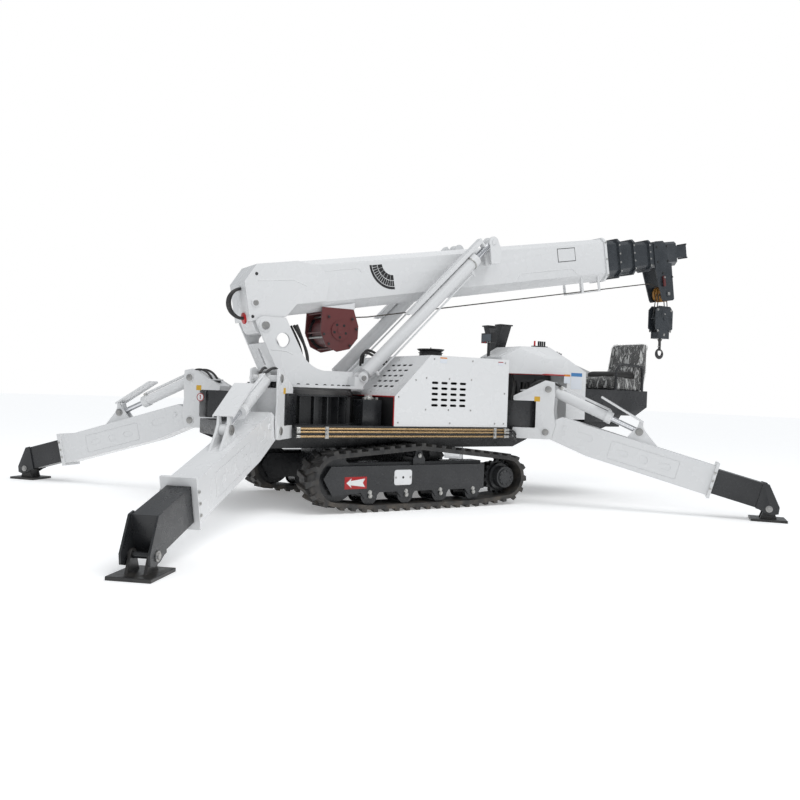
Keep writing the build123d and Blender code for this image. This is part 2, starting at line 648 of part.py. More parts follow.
def boom_rest():
    """Y-shaped cradle that the lowered boom lies in."""
    z0 = PLATFORM_TOP + RUN
    post = block(REST_X - REST_HALF, REST_X + REST_HALF, -REST_HALF, REST_HALF, z0, REST_FORK_Z)
    foot = block(REST_X - REST_HALF - 45, REST_X + REST_HALF + 45, -REST_HALF - 45, REST_HALF + 45, z0,
                 z0 + 16)
    outer = REST_REACH + 50
    arm = make_face(Polyline((0, REST_FORK_Z - 130), (REST_HALF, REST_FORK_Z - 60),
                             (outer - 10, REST_TOP - 30), (outer, REST_TOP),
                             (REST_REACH - 50, REST_TOP), (REST_REACH - 50, REST_TOP - 30),
                             (0, REST_FORK_Z + 22), close=True))
    arm = extrude(Plane(origin=(REST_X - REST_HALF, 0, 0), x_dir=(0, 1, 0), z_dir=(1, 0, 0)) * arm,
                  amount=2 * REST_HALF)
    pad = block(REST_X - REST_HALF - 18, REST_X + REST_HALF + 18, REST_REACH - 50, outer, REST_TOP - 14,
                REST_TOP)
    return union([post, foot, arm, mirrored(arm), pad, mirrored(pad)])


def console():
    """Faceted control console: the meeting of its side, plan and end outlines."""
    side = [(CONSOLE_FRONT, CONSOLE_BASE), (CONSOLE_FRONT - 8, CONSOLE_BAND),
            (CONSOLE_FRONT + 200, CONSOLE_TOP - 12), (CONSOLE_BEND + 190, CONSOLE_TOP),
            (CONSOLE_BEND + 310, CONSOLE_BAND), (CONSOLE_REAR, CONSOLE_BAND - 118),
            (CONSOLE_REAR, PLATFORM_TOP + 22), (CONSOLE_REAR - 262, PLATFORM_TOP + 22),
            (CONSOLE_REAR - 262, CONSOLE_BASE)]
    plan = make_face(Polyline((CONSOLE_FRONT - 10, CONSOLE_FAR),
                              (CONSOLE_FRONT - 10, CONSOLE_NEAR + 190), (CONSOLE_BEND, CONSOLE_NEAR),
                              (CONSOLE_REAR, CONSOLE_NEAR), (CONSOLE_REAR, CONSOLE_FAR), close=True))
    end = make_face(Polyline((CONSOLE_NEAR, PLATFORM_TOP), (CONSOLE_NEAR, CONSOLE_BAND),
                             (CONSOLE_NEAR + 165, CONSOLE_TOP + 5), (CONSOLE_FAR, CONSOLE_TOP + 5),
                             (CONSOLE_FAR, PLATFORM_TOP), close=True))
    body = plate(side, CONSOLE_NEAR, CONSOLE_FAR)
    body = body & extrude(Pos(0, 0, PLATFORM_TOP) * plan, amount=CONSOLE_TOP - PLATFORM_TOP + 20)
    lengthwise = Plane(origin=(CONSOLE_FRONT - 20, 0, 0), x_dir=(0, 1, 0), z_dir=(1, 0, 0))
    return body & extrude(lengthwise * end, amount=CONSOLE_REAR - CONSOLE_FRONT + 40)


def side_cover():
    """White sloping cover on the far side of the seat."""
    y = CONSOLE_FAR - 4
    points = [(CONSOLE_REAR + RUN, PLATFORM_TOP + RUN), (CONSOLE_REAR + RUN, CONSOLE_BAND - 30),
              (CONSOLE_REAR + 300, CONSOLE_BAND - 10), (CONSOLE_REAR + 700, CONSOLE_BAND - 130),
              (CONSOLE_REAR + 700, BOX_TOP + 30), (PLATFORM_REAR - 20, PLATFORM_TOP + RUN)]
    return plate(points, BOX_FAR + RUN, y)


def controls():
    """Levers and the small display on the console."""
    solids = []
    for x in LEVERS_TOP:
        solids.append(rod((x, LEVER_Y, CONSOLE_TOP - 6), (x, LEVER_Y, CONSOLE_TOP + 58), 9))
    base = block(LEVERS_TOP[0] - 26, LEVERS_TOP[-1] + 26, LEVER_Y - 22, LEVER_Y + 22, CONSOLE_TOP + RUN,
                 CONSOLE_TOP + 8)
    return union([base] + [s - block(0, 3000, -900, 0, 0, CONSOLE_TOP + RUN) for s in solids])


def display():
    """Display box on a sloping panel at the front of the console."""
    stem = rod((CONSOLE_FRONT + 20, DISPLAY_Y, CONSOLE_BAND - 40),
               (CONSOLE_FRONT + 20, DISPLAY_Y, CONSOLE_TOP + 30), 16)
    face = block(CONSOLE_FRONT - 10, CONSOLE_FRONT + 50, DISPLAY_Y - 90, DISPLAY_Y + 90,
                 CONSOLE_TOP + 20, CONSOLE_TOP + 120)
    return union([stem - console(), face])


def seat_box():
    """Black box under the seat with its arm rail."""
    profile = [(BOX_FRONT, PLATFORM_TOP + RUN), (PLATFORM_REAR - 60, PLATFORM_TOP + RUN),
               (PLATFORM_REAR, 872), (BOX_REAR - 170, 872), (BOX_REAR, 966), (BOX_REAR, BOX_TOP),
               (BOX_FRONT, BOX_TOP)]
    box = plate(profile, CONSOLE_NEAR + 5, BOX_FAR)
    y = CONSOLE_NEAR + 20
    front, rear = BOX_REAR - 470, BOX_REAR - 70
    path = FilletPolyline((front, y, BOX_TOP - 10), (front, y, RAIL_TOP - 70),
                          (front + 60, y, RAIL_TOP), (rear, y, RAIL_TOP - 18), (rear, y, BOX_TOP - 10),
                          radius=45)
    rail = sweep(Plane(origin=path @ 0, z_dir=path % 0) * Circle(RAIL_RADIUS), path=path)
    return union([box, rail])


def seat():
    """Pan and back of the driver's seat."""
    low = BOX_TOP + RUN
    profile = [(SEAT_FRONT, low + 20), (SEAT_FRONT - 8, PAN_TOP - 30), (SEAT_FRONT + 40, PAN_TOP),
               (SEAT_REAR - 160, PAN_TOP - 20), (SEAT_REAR - 92, SEAT_TOP - 40),
               (SEAT_REAR - 60, SEAT_TOP), (SEAT_REAR, SEAT_TOP - 12), (SEAT_REAR - 10, PAN_TOP + 60),
               (SEAT_REAR - 50, low + 10), (SEAT_REAR - 90, low), (SEAT_FRONT + 60, low)]
    shape = plate(profile, SEAT_Y - SEAT_WIDTH / 2, SEAT_Y + SEAT_WIDTH / 2)
    return fillet(shape.edges().filter_by(Axis.Y), 12)


def valve_bank():
    """Black valve bank and hose frame that carries the console."""
    y0, y1 = CONSOLE_NEAR + 230, CONSOLE_FAR - 20
    front, rear = CONSOLE_FRONT + BANK_SET_BACK, CONSOLE_REAR - 280
    base = block(front, rear, y0, y1, PLATFORM_TOP + RUN, CONSOLE_BASE - RUN)
    slots = []
    for i in range(BANK_SLOTS):
        x = front + 26 + i * (rear - front - 20) / BANK_SLOTS
        slots.append(block(x, x + 34, y0 - 1, y0 + 70, PLATFORM_TOP + 70, CONSOLE_BASE - 80))
    return base - slots


def hydraulic_tank():
    """Oil tank on the far side behind the engine, with its filler cap."""
    tank = block(TANK_FRONT, TANK_REAR, TANK_NEAR, PLATFORM_FAR - 5, PLATFORM_TOP + RUN, TANK_TOP)
    tank = fillet(tank.edges().filter_by(Axis.Z), 40)
    filler = Solid.make_cylinder(45, 45, Plane(origin=(TANK_FRONT + 140, PLATFORM_FAR - 110, TANK_TOP - 5)))
    return union([tank, filler])


def boom_point(a, n):
    """A point of the boom's plane in machine coordinates (x, z)."""
    lean = radians(BOOM_ANGLE)
    return (PIVOT_X + a * cos(lean) - n * sin(lean), PIVOT_Z + a * sin(lean) + n * cos(lean))


def boom_plate(points, y0, y1):
    """A plate with corners (a, n) between y0 and y1."""
    return plate([boom_point(a, n) for a, n in points], y0, y1)


def boom_plane(a):
    """The plane square to the boom at a, with local x across the machine and local y along n."""
    x, z = boom_point(a, 0)
    lean = radians(BOOM_ANGLE)
    return Plane(origin=(x, 0, z), x_dir=(0, 1, 0), z_dir=(cos(lean), 0, sin(lean)))


def section_middle():
    """Height of the sections' common middle over the boom's pin."""
    return BOOM_PIN_TO_SIDE + SECTIONS[0][1] / 2


def section_face(index, grow=0.0):
    """Six-sided profile of a boom section, grown or shrunk evenly."""
    width, height, _ = SECTIONS[index]
    half = width / 2 + grow
    low = section_middle() - height / 2 - grow
    high = section_middle() + height / 2 + grow
    belly = BELLY * width / SECTIONS[0][0]
    shoulder = SHOULDER * width / SECTIONS[0][0]
    points = [(-half, low + belly), (-half, high - shoulder), (shoulder - half, high),
              (half - shoulder, high), (half, high - shoulder), (half, low + belly),
              (half - belly, low), (belly - half, low)]
    return make_face(Polyline(*points, close=True))


def section_tube(index, start, end, grow, shrink):
    """A length of boom section between two profiles."""
    face = section_face(index, grow) - section_face(index, shrink)
    return extrude(boom_plane(start) * face, amount=end - start)


def boom_section(index):
    """A boom section: tube, collar at its mouth, liner for the next section and pads at its tail."""
    end = SECTIONS[index][2]
    start = SECTION_TAIL + TAIL_STEP * (index - 1)
    tube = section_tube(index, start, end, 0, -BOOM_WALL)
    face = section_face(index, COLLAR_RIM) - section_face(index + 1, RUN)
    collar = extrude(boom_plane(end - COLLAR_THICK) * face, amount=COLLAR_THICK)
    tail = extrude(boom_plane(start)
                   * (section_face(index - 1, -BOOM_WALL - RUN) - section_face(index, -BOOM_WALL)),
                   amount=PAD_LENGTH)
    return union([tube, collar, tail])


def boom_base():
    """Base section with its root cheeks, pin lugs, cylinder brackets, winch bracket and rope hoop."""
    end = SECTIONS[0][2]
    tube = section_tube(0, ROOT_REAR + 6, end, 0, -BOOM_WALL)
    face = section_face(0, COLLAR_RIM * 0.7) - section_face(1, RUN)
    collar = extrude(boom_plane(end - COLLAR_THICK) * face, amount=COLLAR_THICK)
    half = SECTIONS[0][0] / 2
    top = BOOM_PIN_TO_SIDE + SECTIONS[0][1]
    cheek_outline = [(ROOT_REAR, 54), (ROOT_REAR, 400), (15, top), (409, top), (640, top - 70),
                     (700, top - 200), (640, 157), (345, 157), (222, 56)]
    cheek = boom_plate(cheek_outline, half - 1, half + ROOT_PLATE)
    back = boom_plate([(ROOT_REAR, 54), (ROOT_REAR, 400), (15, top), (26, top - 12),
                       (ROOT_REAR + 12, 394), (ROOT_REAR + 12, 66), (222, 66), (222, 54)],
                      -half - 1, half + 1)
    clip = boom_plate([(ROOT_REAR, -200), (ROOT_REAR, 400), (15, top), (end, top), (end, -200)], -400, 400)
    lug = boom_plate([(-ROOT_LUG, 0), (-ROOT_LUG - 20, 80), (ROOT_LUG + 60, 80), (ROOT_LUG, 0)],
                     -ROOT_LUG_HALF, ROOT_LUG_HALF)
    lug = lug + pin_y(PIVOT_X, PIVOT_Z, ROOT_LUG, -ROOT_LUG_HALF, ROOT_LUG_HALF)
    solids = [tube & clip, collar, cheek, mirrored(cheek), back, lug, *cylinder_brackets(),
              *winch_bracket(), rope_hoop()]
    inside = section_face(0, -BOOM_WALL)
    room = extrude(boom_plane(SECTION_TAIL - 100) * inside, amount=end - COLLAR_THICK - SECTION_TAIL + 100)
    body = union(solids) - room
    return body - pin_y(PIVOT_X, PIVOT_Z, PIVOT_PIN + PIN_RUN, -ROOT_LUG_HALF - 1, ROOT_LUG_HALF + 1)


def cylinder_brackets():
    """Clevis brackets high on the boom's sides for the rods of the luffing cylinders."""
    a, n = LUFF_HIGH
    half = SECTIONS[0][0] / 2
    outer = LUFF_Y + LUFF_EYE_WIDTH / 2 + LUFF_EAR_GAP + LUFF_EAR
    web = boom_plate([(a - 18, n - 215), (a + 50, n - 215), (a + 66, n - 170), (a + 36, n - 184),
                      (a - 18, n - 190)], half - 1, outer)
    solids = [web]
    for y0 in (outer - LUFF_EAR, 2 * LUFF_Y - outer):
        ear = boom_plate([(a - 62, n - 215), (a + 50, n - 215), (a + 92, n - 100), (a + 55, n + 10),
                          (a - 50, n - 10)], y0, y0 + LUFF_EAR)
        x, z = boom_point(a, n)
        solids.append(ear + pin_y(x, z, 58, y0, y0 + LUFF_EAR))
        solids.append(pin_y(x, z, LUFF_PIN, y0, y0 + LUFF_EAR + (8 if y0 > LUFF_Y else 0)))
    stay_outline = [(a - 30, n - 60), (a + 40, n - 60), (a + 40, n - 90), (a - 30, n - 90)]
    side = union([*solids, boom_plate(stay_outline, half - 1, 2 * LUFF_Y - outer + 1)])
    return [side, mirrored(side)]


def winch_bracket():
    """Saddle under the boom that the winch hangs from."""
    x0, x1 = WINCH_X - 165, WINCH_X + 150
    z = WINCH_Z + WINCH_RADIUS + WINCH_RISE + RUN
    inner = WINCH_HALF - PLATE
    top = boom_point(0, BOOM_PIN_TO_SIDE)[1] + (x0 - PIVOT_X) * tan(radians(BOOM_ANGLE))
    points = [(x0, z), (x1, z), (x1, top + 100), (x0, top + 40)]
    hollow = plate([(x0 + 20, z + 14), (x1 - 20, z + 14), (x1 - 20, top + 90), (x0 + 20, top + 30)],
                   -inner, inner)
    return [plate(points, -WINCH_HALF, WINCH_HALF) - hollow]


def rope_hoop():
    """White strap loop under the mouth of the base section that guides the rope."""
    a0, a1, drop = HOOP
    low = BOOM_PIN_TO_SIDE
    top = low + BELLY * 0.9
    side = boom_plate([(a0, top), (a0, low - drop), (a1, low - drop), (a1, top), (a1 - 30, top),
                       (a1 - 30, low - drop + 12), (a0 + 30, low - drop + 12), (a0 + 30, top)],
                      -HOOP_HALF, -HOOP_HALF + 10)
    cross = [boom_plate([(a, low - drop), (a + 24, low - drop), (a + 24, low - drop + 12),
                         (a, low - drop + 12)], -HOOP_HALF, HOOP_HALF) for a in (a0, a1 - 24)]
    return union([side, mirrored(side), *cross])


def tower():
    """Turntable with the two tower plates that carry the boom, its pin, and the cylinders' clevises."""
    z0 = RING_TOP
    z1 = z0 + TURNTABLE_THICK
    base = Solid.make_cylinder(TURNTABLE_RADIUS, TURNTABLE_THICK, Plane(origin=(SLEW_X, 0, z0)))
    wide = LUFF_Y + LUFF_EYE_WIDTH / 2 + LUFF_EAR_GAP + LUFF_EAR
    tongue = block(SLEW_X, SLEW_X + TURNTABLE_REACH, -wide, wide, z0, z1)
    reach = Solid.make_cylinder(TURNTABLE_REACH, TURNTABLE_THICK, Plane(origin=(SLEW_X, 0, z0)))
    hole_x, hole_z = TOWER_HOLE
    edge = Polyline((-975, z1 - 4), (-1104, 1209), (-1304, 1615))
    ear = ThreePointArc((-1304, 1615), (PIVOT_X - 40, PIVOT_Z + 72), (PIVOT_X, PIVOT_Z + EAR_RADIUS))
    rest = Polyline((PIVOT_X, PIVOT_Z + EAR_RADIUS), (-1028, PIVOT_Z + EAR_RADIUS), (-880, 1400))
    sweep_arc = ThreePointArc((-880, 1400), (-800, 1285), (-640, TOWER_DECK_Z))
    low = Polyline((-640, TOWER_DECK_Z), (-352, TOWER_DECK_Z), (-286, 1165), (-286, z1 - 4), (-975, z1 - 4))
    face = make_face(Wire([*edge.edges(), *ear.edges(), *rest.edges(), *sweep_arc.edges(), *low.edges()]))
    side = across(face, TOWER_INNER, TOWER_INNER + TOWER_PLATE)
    side = side - pin_y(hole_x, hole_z, TOWER_HOLE_RADIUS, 100, 300)
    rim = pin_y(hole_x, hole_z, TOWER_HOLE_RADIUS + 6, TOWER_INNER + 4, TOWER_INNER + TOWER_PLATE + 3)
    side = side + (rim - pin_y(hole_x, hole_z, TOWER_HOLE_RADIUS, 100, 300))
    back = plate([(-952, z1 - 4), (-1080, 1209), (-1190, 1442), (-1212, 1434), (-1104, 1209),
                  (-975, z1 - 4)], -TOWER_INNER - 1, TOWER_INNER + 1)
    back = back - plate([(-1180, 1250), (-1060, 1250), (-1120, 1390), (-1240, 1390)], -22, 22)
    front = plate([(-352, TOWER_DECK_Z - 14), (-352, TOWER_DECK_Z), (-640, TOWER_DECK_Z),
                   (-640, TOWER_DECK_Z - 14)], -TOWER_INNER - 1, TOWER_INNER + 1)
    face_plate = plate([(-300, z1 - 4), (-286, z1 - 4), (-286, 1160), (-300, 1160)], -TOWER_INNER - 1,
                       TOWER_INNER + 1)
    pin = pin_y(PIVOT_X, PIVOT_Z, PIVOT_PIN, -TOWER_INNER - TOWER_PLATE - 10, TOWER_INNER + TOWER_PLATE
                + 10)
    solids = [base, tongue & reach, side, mirrored(side), back, front, face_plate, pin, *luff_clevises(z1)]
    return union(solids)


def luff_clevises(z1):
    """Ears on the turntable for the luffing cylinders, each with a stub of its pin."""
    x, z = LUFF_LOW
    solids = []
    gap = LUFF_EYE_WIDTH / 2 + LUFF_EAR_GAP
    for y0 in (LUFF_Y - gap - LUFF_EAR, LUFF_Y + gap):
        web = plate([(x - 90, z1 - 4), (x - 3, z1 - 4), (x + 50, z - 8), (x + 30, z + 45),
                     (x - 40, z + 38)], y0, y0 + LUFF_EAR)
        solids.append(web + pin_y(x, z, 52, y0, y0 + LUFF_EAR))
    solids.append(pin_y(x, z, LUFF_PIN, LUFF_Y - gap - LUFF_EAR, LUFF_Y + gap + LUFF_EAR + 8))
    solids.append(plate([(x - 90, z1 - 4), (x - 60, z1 - 4), (x - 60, z1 + 90), (x - 90, z1 + 90)],
                        TOWER_INNER + 5, LUFF_Y + gap + LUFF_EAR))
    side = union(solids)
    return [side, mirrored(side)]


def along_cylinder(low, high, distance, offset=0.0):
    """Point (x, z) at a distance from the lower pin, offset square to the line to the left."""
    run = hypot(high[0] - low[0], high[1] - low[1])
    ux, uz = (high[0] - low[0]) / run, (high[1] - low[1]) / run
    return (low[0] + ux * distance - uz * offset, low[1] + uz * distance + ux * offset)


def luff_barrel():
    """Barrel of one luffing cylinder with its eye and gland."""
    high = boom_point(*LUFF_HIGH)

    def at(distance):
        x, z = along_cylinder(LUFF_LOW, high, distance)
        return (x, LUFF_Y, z)

    tube = rod(at(LUFF_EYE + 24), at(LUFF_BARREL_LENGTH), LUFF_BARREL)
    gland = rod(at(LUFF_BARREL_LENGTH - 70), at(LUFF_BARREL_LENGTH), LUFF_BARREL + 7)
    bore = rod(at(LUFF_EYE + 60), at(LUFF_BARREL_LENGTH - 60), LUFF_BORE)
    throat = rod(at(LUFF_BARREL_LENGTH - 61), at(LUFF_BARREL_LENGTH + 1), LUFF_ROD + RUN)
    x, z = LUFF_LOW
    neck = rod(at(20), at(LUFF_EYE + 30), LUFF_EYE_WIDTH / 2)
    eye = pin_y(x, z, LUFF_EYE, LUFF_Y - LUFF_EYE_WIDTH / 2, LUFF_Y + LUFF_EYE_WIDTH / 2)
    body = union([tube, gland, neck, eye]) - bore - throat
    return body - pin_y(x, z, LUFF_PIN + PIN_RUN, LUFF_Y - 60, LUFF_Y + 60)


def luff_rod():
    """Rod of one luffing cylinder with its eye, piston and the guard channel over the barrel."""
    high = boom_point(*LUFF_HIGH)
    total = hypot(high[0] - LUFF_LOW[0], high[1] - LUFF_LOW[1])

    def at(distance, offset=0.0):
        x, z = along_cylinder(LUFF_LOW, high, distance, offset)
        return (x, LUFF_Y, z)

    shaft = rod(at(total - LUFF_ROD_TAIL), at(total - LUFF_EYE + 8), LUFF_ROD)
    piston = rod(at(total - LUFF_ROD_TAIL), at(total - LUFF_ROD_TAIL + 60), LUFF_BORE - RUN)
    eye = pin_y(high[0], high[1], LUFF_EYE, LUFF_Y - LUFF_EYE_WIDTH / 2, LUFF_Y + LUFF_EYE_WIDTH / 2)
    start, end = total - 88, total - 88 - GUARD_LENGTH
    low_face, top_face = LUFF_BARREL + 14, LUFF_BARREL + 58
    corners = [along_cylinder(LUFF_LOW, high, d, o)
               for d, o in ((start, low_face), (start, top_face), (end, top_face), (end + 40, low_face))]
    channel = plate(corners, LUFF_Y - GUARD_HALF, LUFF_Y + GUARD_HALF)
    hollow = [along_cylinder(LUFF_LOW, high, d, o) for d,
              o in ((start + 9, low_face - 1), (start + 9, top_face - 5), (end - 9, top_face - 5),
                    (end - 9, low_face - 1))]
    channel = channel - plate(hollow, LUFF_Y - GUARD_HALF + 5, LUFF_Y + GUARD_HALF - 5)
    post = [along_cylinder(LUFF_LOW, high, d, o) for d,
            o in ((total - 110, 20), (total - 110, top_face - 4), (total - 88, top_face - 4),
                  (total - 88, 20))]
    post = plate(post, LUFF_Y - GUARD_HALF, LUFF_Y + GUARD_HALF)
    return union([shaft, piston, eye, channel, post])


def winch():
    """Hoist winch: drum with flanges between two bowed side plates, motor cover and tie bars."""
    x, z = WINCH_X, WINCH_Z
    r = WINCH_RADIUS
    half = WINCH_HALF
    top = z + r + WINCH_RISE
    sides = side_face([(x - r * 0.92, top), (x + r * 0.72, top), (x + r, z + r * 0.28),
                       (x + r * 0.98, z - r * 0.3), (x + r * 0.55, z - r * 0.84), (x - r * 0.1, z - r),
                       (x - r * 0.68, z - r * 0.76), (x - r * 0.98, z - r * 0.1)])
    plates = [across(sides, half - 16, half), across(sides, -half, 16 - half)]
    drum = pin_y(x, z, DRUM_RADIUS, -half + 10, half - 10)
    windings = [pin_y(x, z, DRUM_RADIUS + 24, -half + 40, half - 40)]
    flange = [pin_y(x, z, r * 0.86, y, y + 10) for y in (-half + 26, half - 36)]
    ties = [pin_y(x + dx, z + dz, 9, -half + 5, half - 5) for dx,
            dz in ((-r * 0.82, r * 0.8), (-r * 0.86, -r * 0.1), (r * 0.6, r * 0.86),
                   (-r * 0.3, -r * 0.84))]
    cover = [pin_y(x, z, 88, half - 2, half + 14), pin_y(x, z, 88, -half - 14, -half + 2)]
    return union([*plates, drum, *windings, *flange, *ties, *cover])


def boom_tip():
    """Innermost section with the head plates, the sheave pin and the jib socket."""
    index = len(SECTIONS) - 1
    start = SECTION_TAIL + TAIL_STEP * (index - 1)
    width, height, end = SECTIONS[index]
    tube = section_tube(index, start, end, 0, -BOOM_WALL)
    tail = extrude(boom_plane(start)
                   * (section_face(index - 1, -BOOM_WALL - RUN) - section_face(index, -BOOM_WALL)),
                   amount=PAD_LENGTH)
    low, high = section_middle() - height / 2, section_middle() + height / 2
    pa, pn = HEAD_PIN
    outline = [(pa - 185, high - 10), (pa - 150, high + 16), (pa - 20, high + 16), (pa + 45, high - 40),
               (pa + 45, low + 40), (pa + 105, low + 30), (pa + 98, pn - 70), (pa + 78, pn - 88),
               (pa - 92, pn - 88), (pa - 110, pn - 60), (pa - 185, low - 30)]
    head = boom_plate(outline, HEAD_HALF - HEAD_PLATE, HEAD_HALF)
    spacer = boom_plate([(pa - 150, high), (pa - 20, high), (pa - 20, high + 14),
                         (pa - 150, high + 14)], 1 - HEAD_HALF, HEAD_HALF - 1)
    x, z = boom_point(pa, pn)
    pin = pin_y(x, z, SHEAVE_PIN, -HEAD_HALF - 6, HEAD_HALF + 6)
    jib = extrude(boom_plane(end - 30) * Pos(0, section_middle() + JIB_RISE)
                  * Rectangle(JIB_WIDTH, JIB_HEIGHT), amount=JIB_END - end + 30)
    jib = jib - extrude(boom_plane(end + 20) * Pos(0, section_middle() + JIB_RISE)
                        * Rectangle(JIB_WIDTH - 24, JIB_HEIGHT - 24), amount=JIB_END)
    lips = [extrude(boom_plane(JIB_END - 16)
                    * Pos(0, section_middle() + JIB_RISE + side * (JIB_HEIGHT / 2 + 8))
                    * Rectangle(JIB_WIDTH + 20, 18), amount=16) for side in (-1, 1)]
    bulkhead = extrude(boom_plane(end - 12) * section_face(index, -BOOM_WALL + 1), amount=12)
    return union([tube, tail, head, mirrored(head), spacer, pin, bulkhead, jib, *lips])


def head_sheaves():
    """Three grooved rope sheaves on the head pin."""
    x, z = boom_point(*HEAD_PIN)
    solids = []
    for i in range(SHEAVE_COUNT):
        y = (i - (SHEAVE_COUNT - 1) / 2) * SHEAVE_PITCH
        profile = make_face(Polyline((SHEAVE_PIN + PIN_RUN, -SHEAVE_PITCH / 2),
                                     (SHEAVE_PIN + 14, -SHEAVE_PITCH / 2), (SHEAVE_PIN + 14, -8),
                                     (SHEAVE_RADIUS - 22, -8), (SHEAVE_RADIUS, -SHEAVE_WIDTH / 2),
                                     (SHEAVE_RADIUS - 14, 0), (SHEAVE_RADIUS, SHEAVE_WIDTH / 2),
                                     (SHEAVE_RADIUS - 22, 8), (SHEAVE_PIN + 14, 8),
                                     (SHEAVE_PIN + 14, SHEAVE_PITCH / 2),
                                     (SHEAVE_PIN + PIN_RUN, SHEAVE_PITCH / 2), close=True))
        turned = revolve(Plane(origin=(x, y, z), x_dir=(1, 0, 0), z_dir=(0, 0, 1)) * profile,
                         Axis((x, y, z), (0, 1, 0)))
        solids.append(turned)
    return union(solids)


def hook_block():
    """Hook block: two eight-sided cheek plates, sheaves between them and the swivel housing."""
    x, _ = boom_point(*HEAD_PIN)
    half = BLOCK_LENGTH / 2
    neck = half * 0.62
    shoulder = BLOCK_BOTTOM + 84
    outline = [(x - half + 52, BLOCK_TOP), (x + half - 52, BLOCK_TOP), (x + half, BLOCK_TOP - 52),
               (x + half, shoulder + 40), (x + neck, shoulder), (x + neck, BLOCK_BOTTOM),
               (x - neck, BLOCK_BOTTOM), (x - neck, shoulder), (x - half, shoulder + 40),
               (x - half, BLOCK_TOP - 52)]
    cheeks = [plate(outline, BLOCK_HALF - BLOCK_PLATE, BLOCK_HALF),
              plate(outline, -BLOCK_HALF, BLOCK_PLATE - BLOCK_HALF)]
    centre_z = (BLOCK_TOP + shoulder) / 2 + 6
    pin = pin_y(x, centre_z, 22, -BLOCK_HALF - 10, BLOCK_HALF + 10)
    sheaves = [pin_y(x, centre_z, 118, y - 13, y + 13) - pin_y(x, centre_z, 130, y - 6, y + 6)
               for y in (-22, 22)]
    core = [pin_y(x, centre_z, 106, -BLOCK_HALF + 5, BLOCK_HALF - 5)]
    housing = block(x - neck + 6, x + neck - 6, 2 - BLOCK_HALF, BLOCK_HALF - 2, BLOCK_BOTTOM + 2,
                    shoulder - 6)
    socket = Solid.make_cylinder(HOOK_SHANK + PIN_RUN + 0.2, 90, Plane(origin=(x, 0, BLOCK_BOTTOM - 5)))
    ring = Solid.make_cylinder(HOOK_COLLAR + PIN_RUN + 0.2, 30, Plane(origin=(x, 0, BLOCK_BOTTOM + 46)))
    ties = [pin_y(x + dx, zz, 8, -BLOCK_HALF - 5, BLOCK_HALF + 5) for dx,
            zz in ((-60, BLOCK_TOP - 20), (60, BLOCK_TOP - 20), (-half + 22, centre_z),
                   (half - 22, centre_z), (-72, shoulder + 26), (72, shoulder + 26))]
    block_body = union([*cheeks, pin, *sheaves, *core, housing, *ties]) - socket - ring
    return union([block_body, *rope_falls(centre_z)])


def rope_falls(centre_z):
    """The four rope falls that carry the hook block, from the block's sheaves to the head sheaves."""
    x, z = boom_point(*HEAD_PIN)
    falls = []
    for side, y_head, y_block in ((-1, -SHEAVE_PITCH, -22), (1, 0, -22), (-1, 0, 22),
                                  (1, SHEAVE_PITCH, 22)):
        low, high = (x + side * FALL_IN_BLOCK, y_block, centre_z), (x + side * FALL_AT_HEAD, y_head, z)
        falls.append(rod(low, high, ROPE_RADIUS))
    return falls


def hook():
    """Forged swivel hook: shank with its collar, tapered bowl and point, and the safety latch."""
    x, _ = boom_point(*HEAD_PIN)
    bowl_z = HOOK_BOTTOM + HOOK_RADIUS + HOOK_THICK / 2
    throat = HOOK_RADIUS
    stations = [(100, 0.46), (150, 0.66), (200, 0.92), (250, 1.0), (300, 0.94), (350, 0.72), (385, 0.5),
                (408, 0.3)]
    faces = []
    for angle, share in stations:
        turn = radians(angle)
        centre = Vector(x + throat * cos(turn), 0, bowl_z + throat * sin(turn))
        along = Vector(-sin(turn), 0, cos(turn))
        faces.append(Plane(origin=centre, x_dir=(0, 1, 0), z_dir=along)
                     * Ellipse(HOOK_THICK / 2 * share * 0.85, HOOK_THICK / 2 * share))
    bowl = loft(Sketch() + faces)
    top = BLOCK_BOTTOM + 70
    shank = Solid.make_cylinder(HOOK_SHANK, top - bowl_z - throat + 20,
                                Plane(origin=(x, 0, bowl_z + throat - 20)))
    collar = Solid.make_cylinder(HOOK_COLLAR, 26, Plane(origin=(x, 0, BLOCK_BOTTOM + 48)))
    neck = Solid.make_cone(HOOK_SHANK, HOOK_SHANK + 12, 26, Plane(origin=(x, 0, BLOCK_BOTTOM - 34)))
    tip_angle = radians(stations[-1][0])
    tip = (x + throat * cos(tip_angle), 0, bowl_z + throat * sin(tip_angle))
    latch = rod((x + 12, 0, bowl_z + throat + 6), (tip[0] - 4, 0, tip[2] + 2), 5)
    return union([bowl, shank, collar, neck, latch])


def leg_point(s, t):
    """A point of a leg beam's plane, along and square to the beam, as (h, z)."""
    drop = radians(LEG_DROP)
    return (LEG_LOW_PIN[0] + s * cos(drop) + t * sin(drop), LEG_LOW_PIN[1] - s * sin(drop) + t * cos(drop))


def leg_plate(points, y0, y1):
    """A plate with corners (s, t) along and square to the leg beam."""
    return plate([leg_point(s, t) for s, t in points], y0, y1)


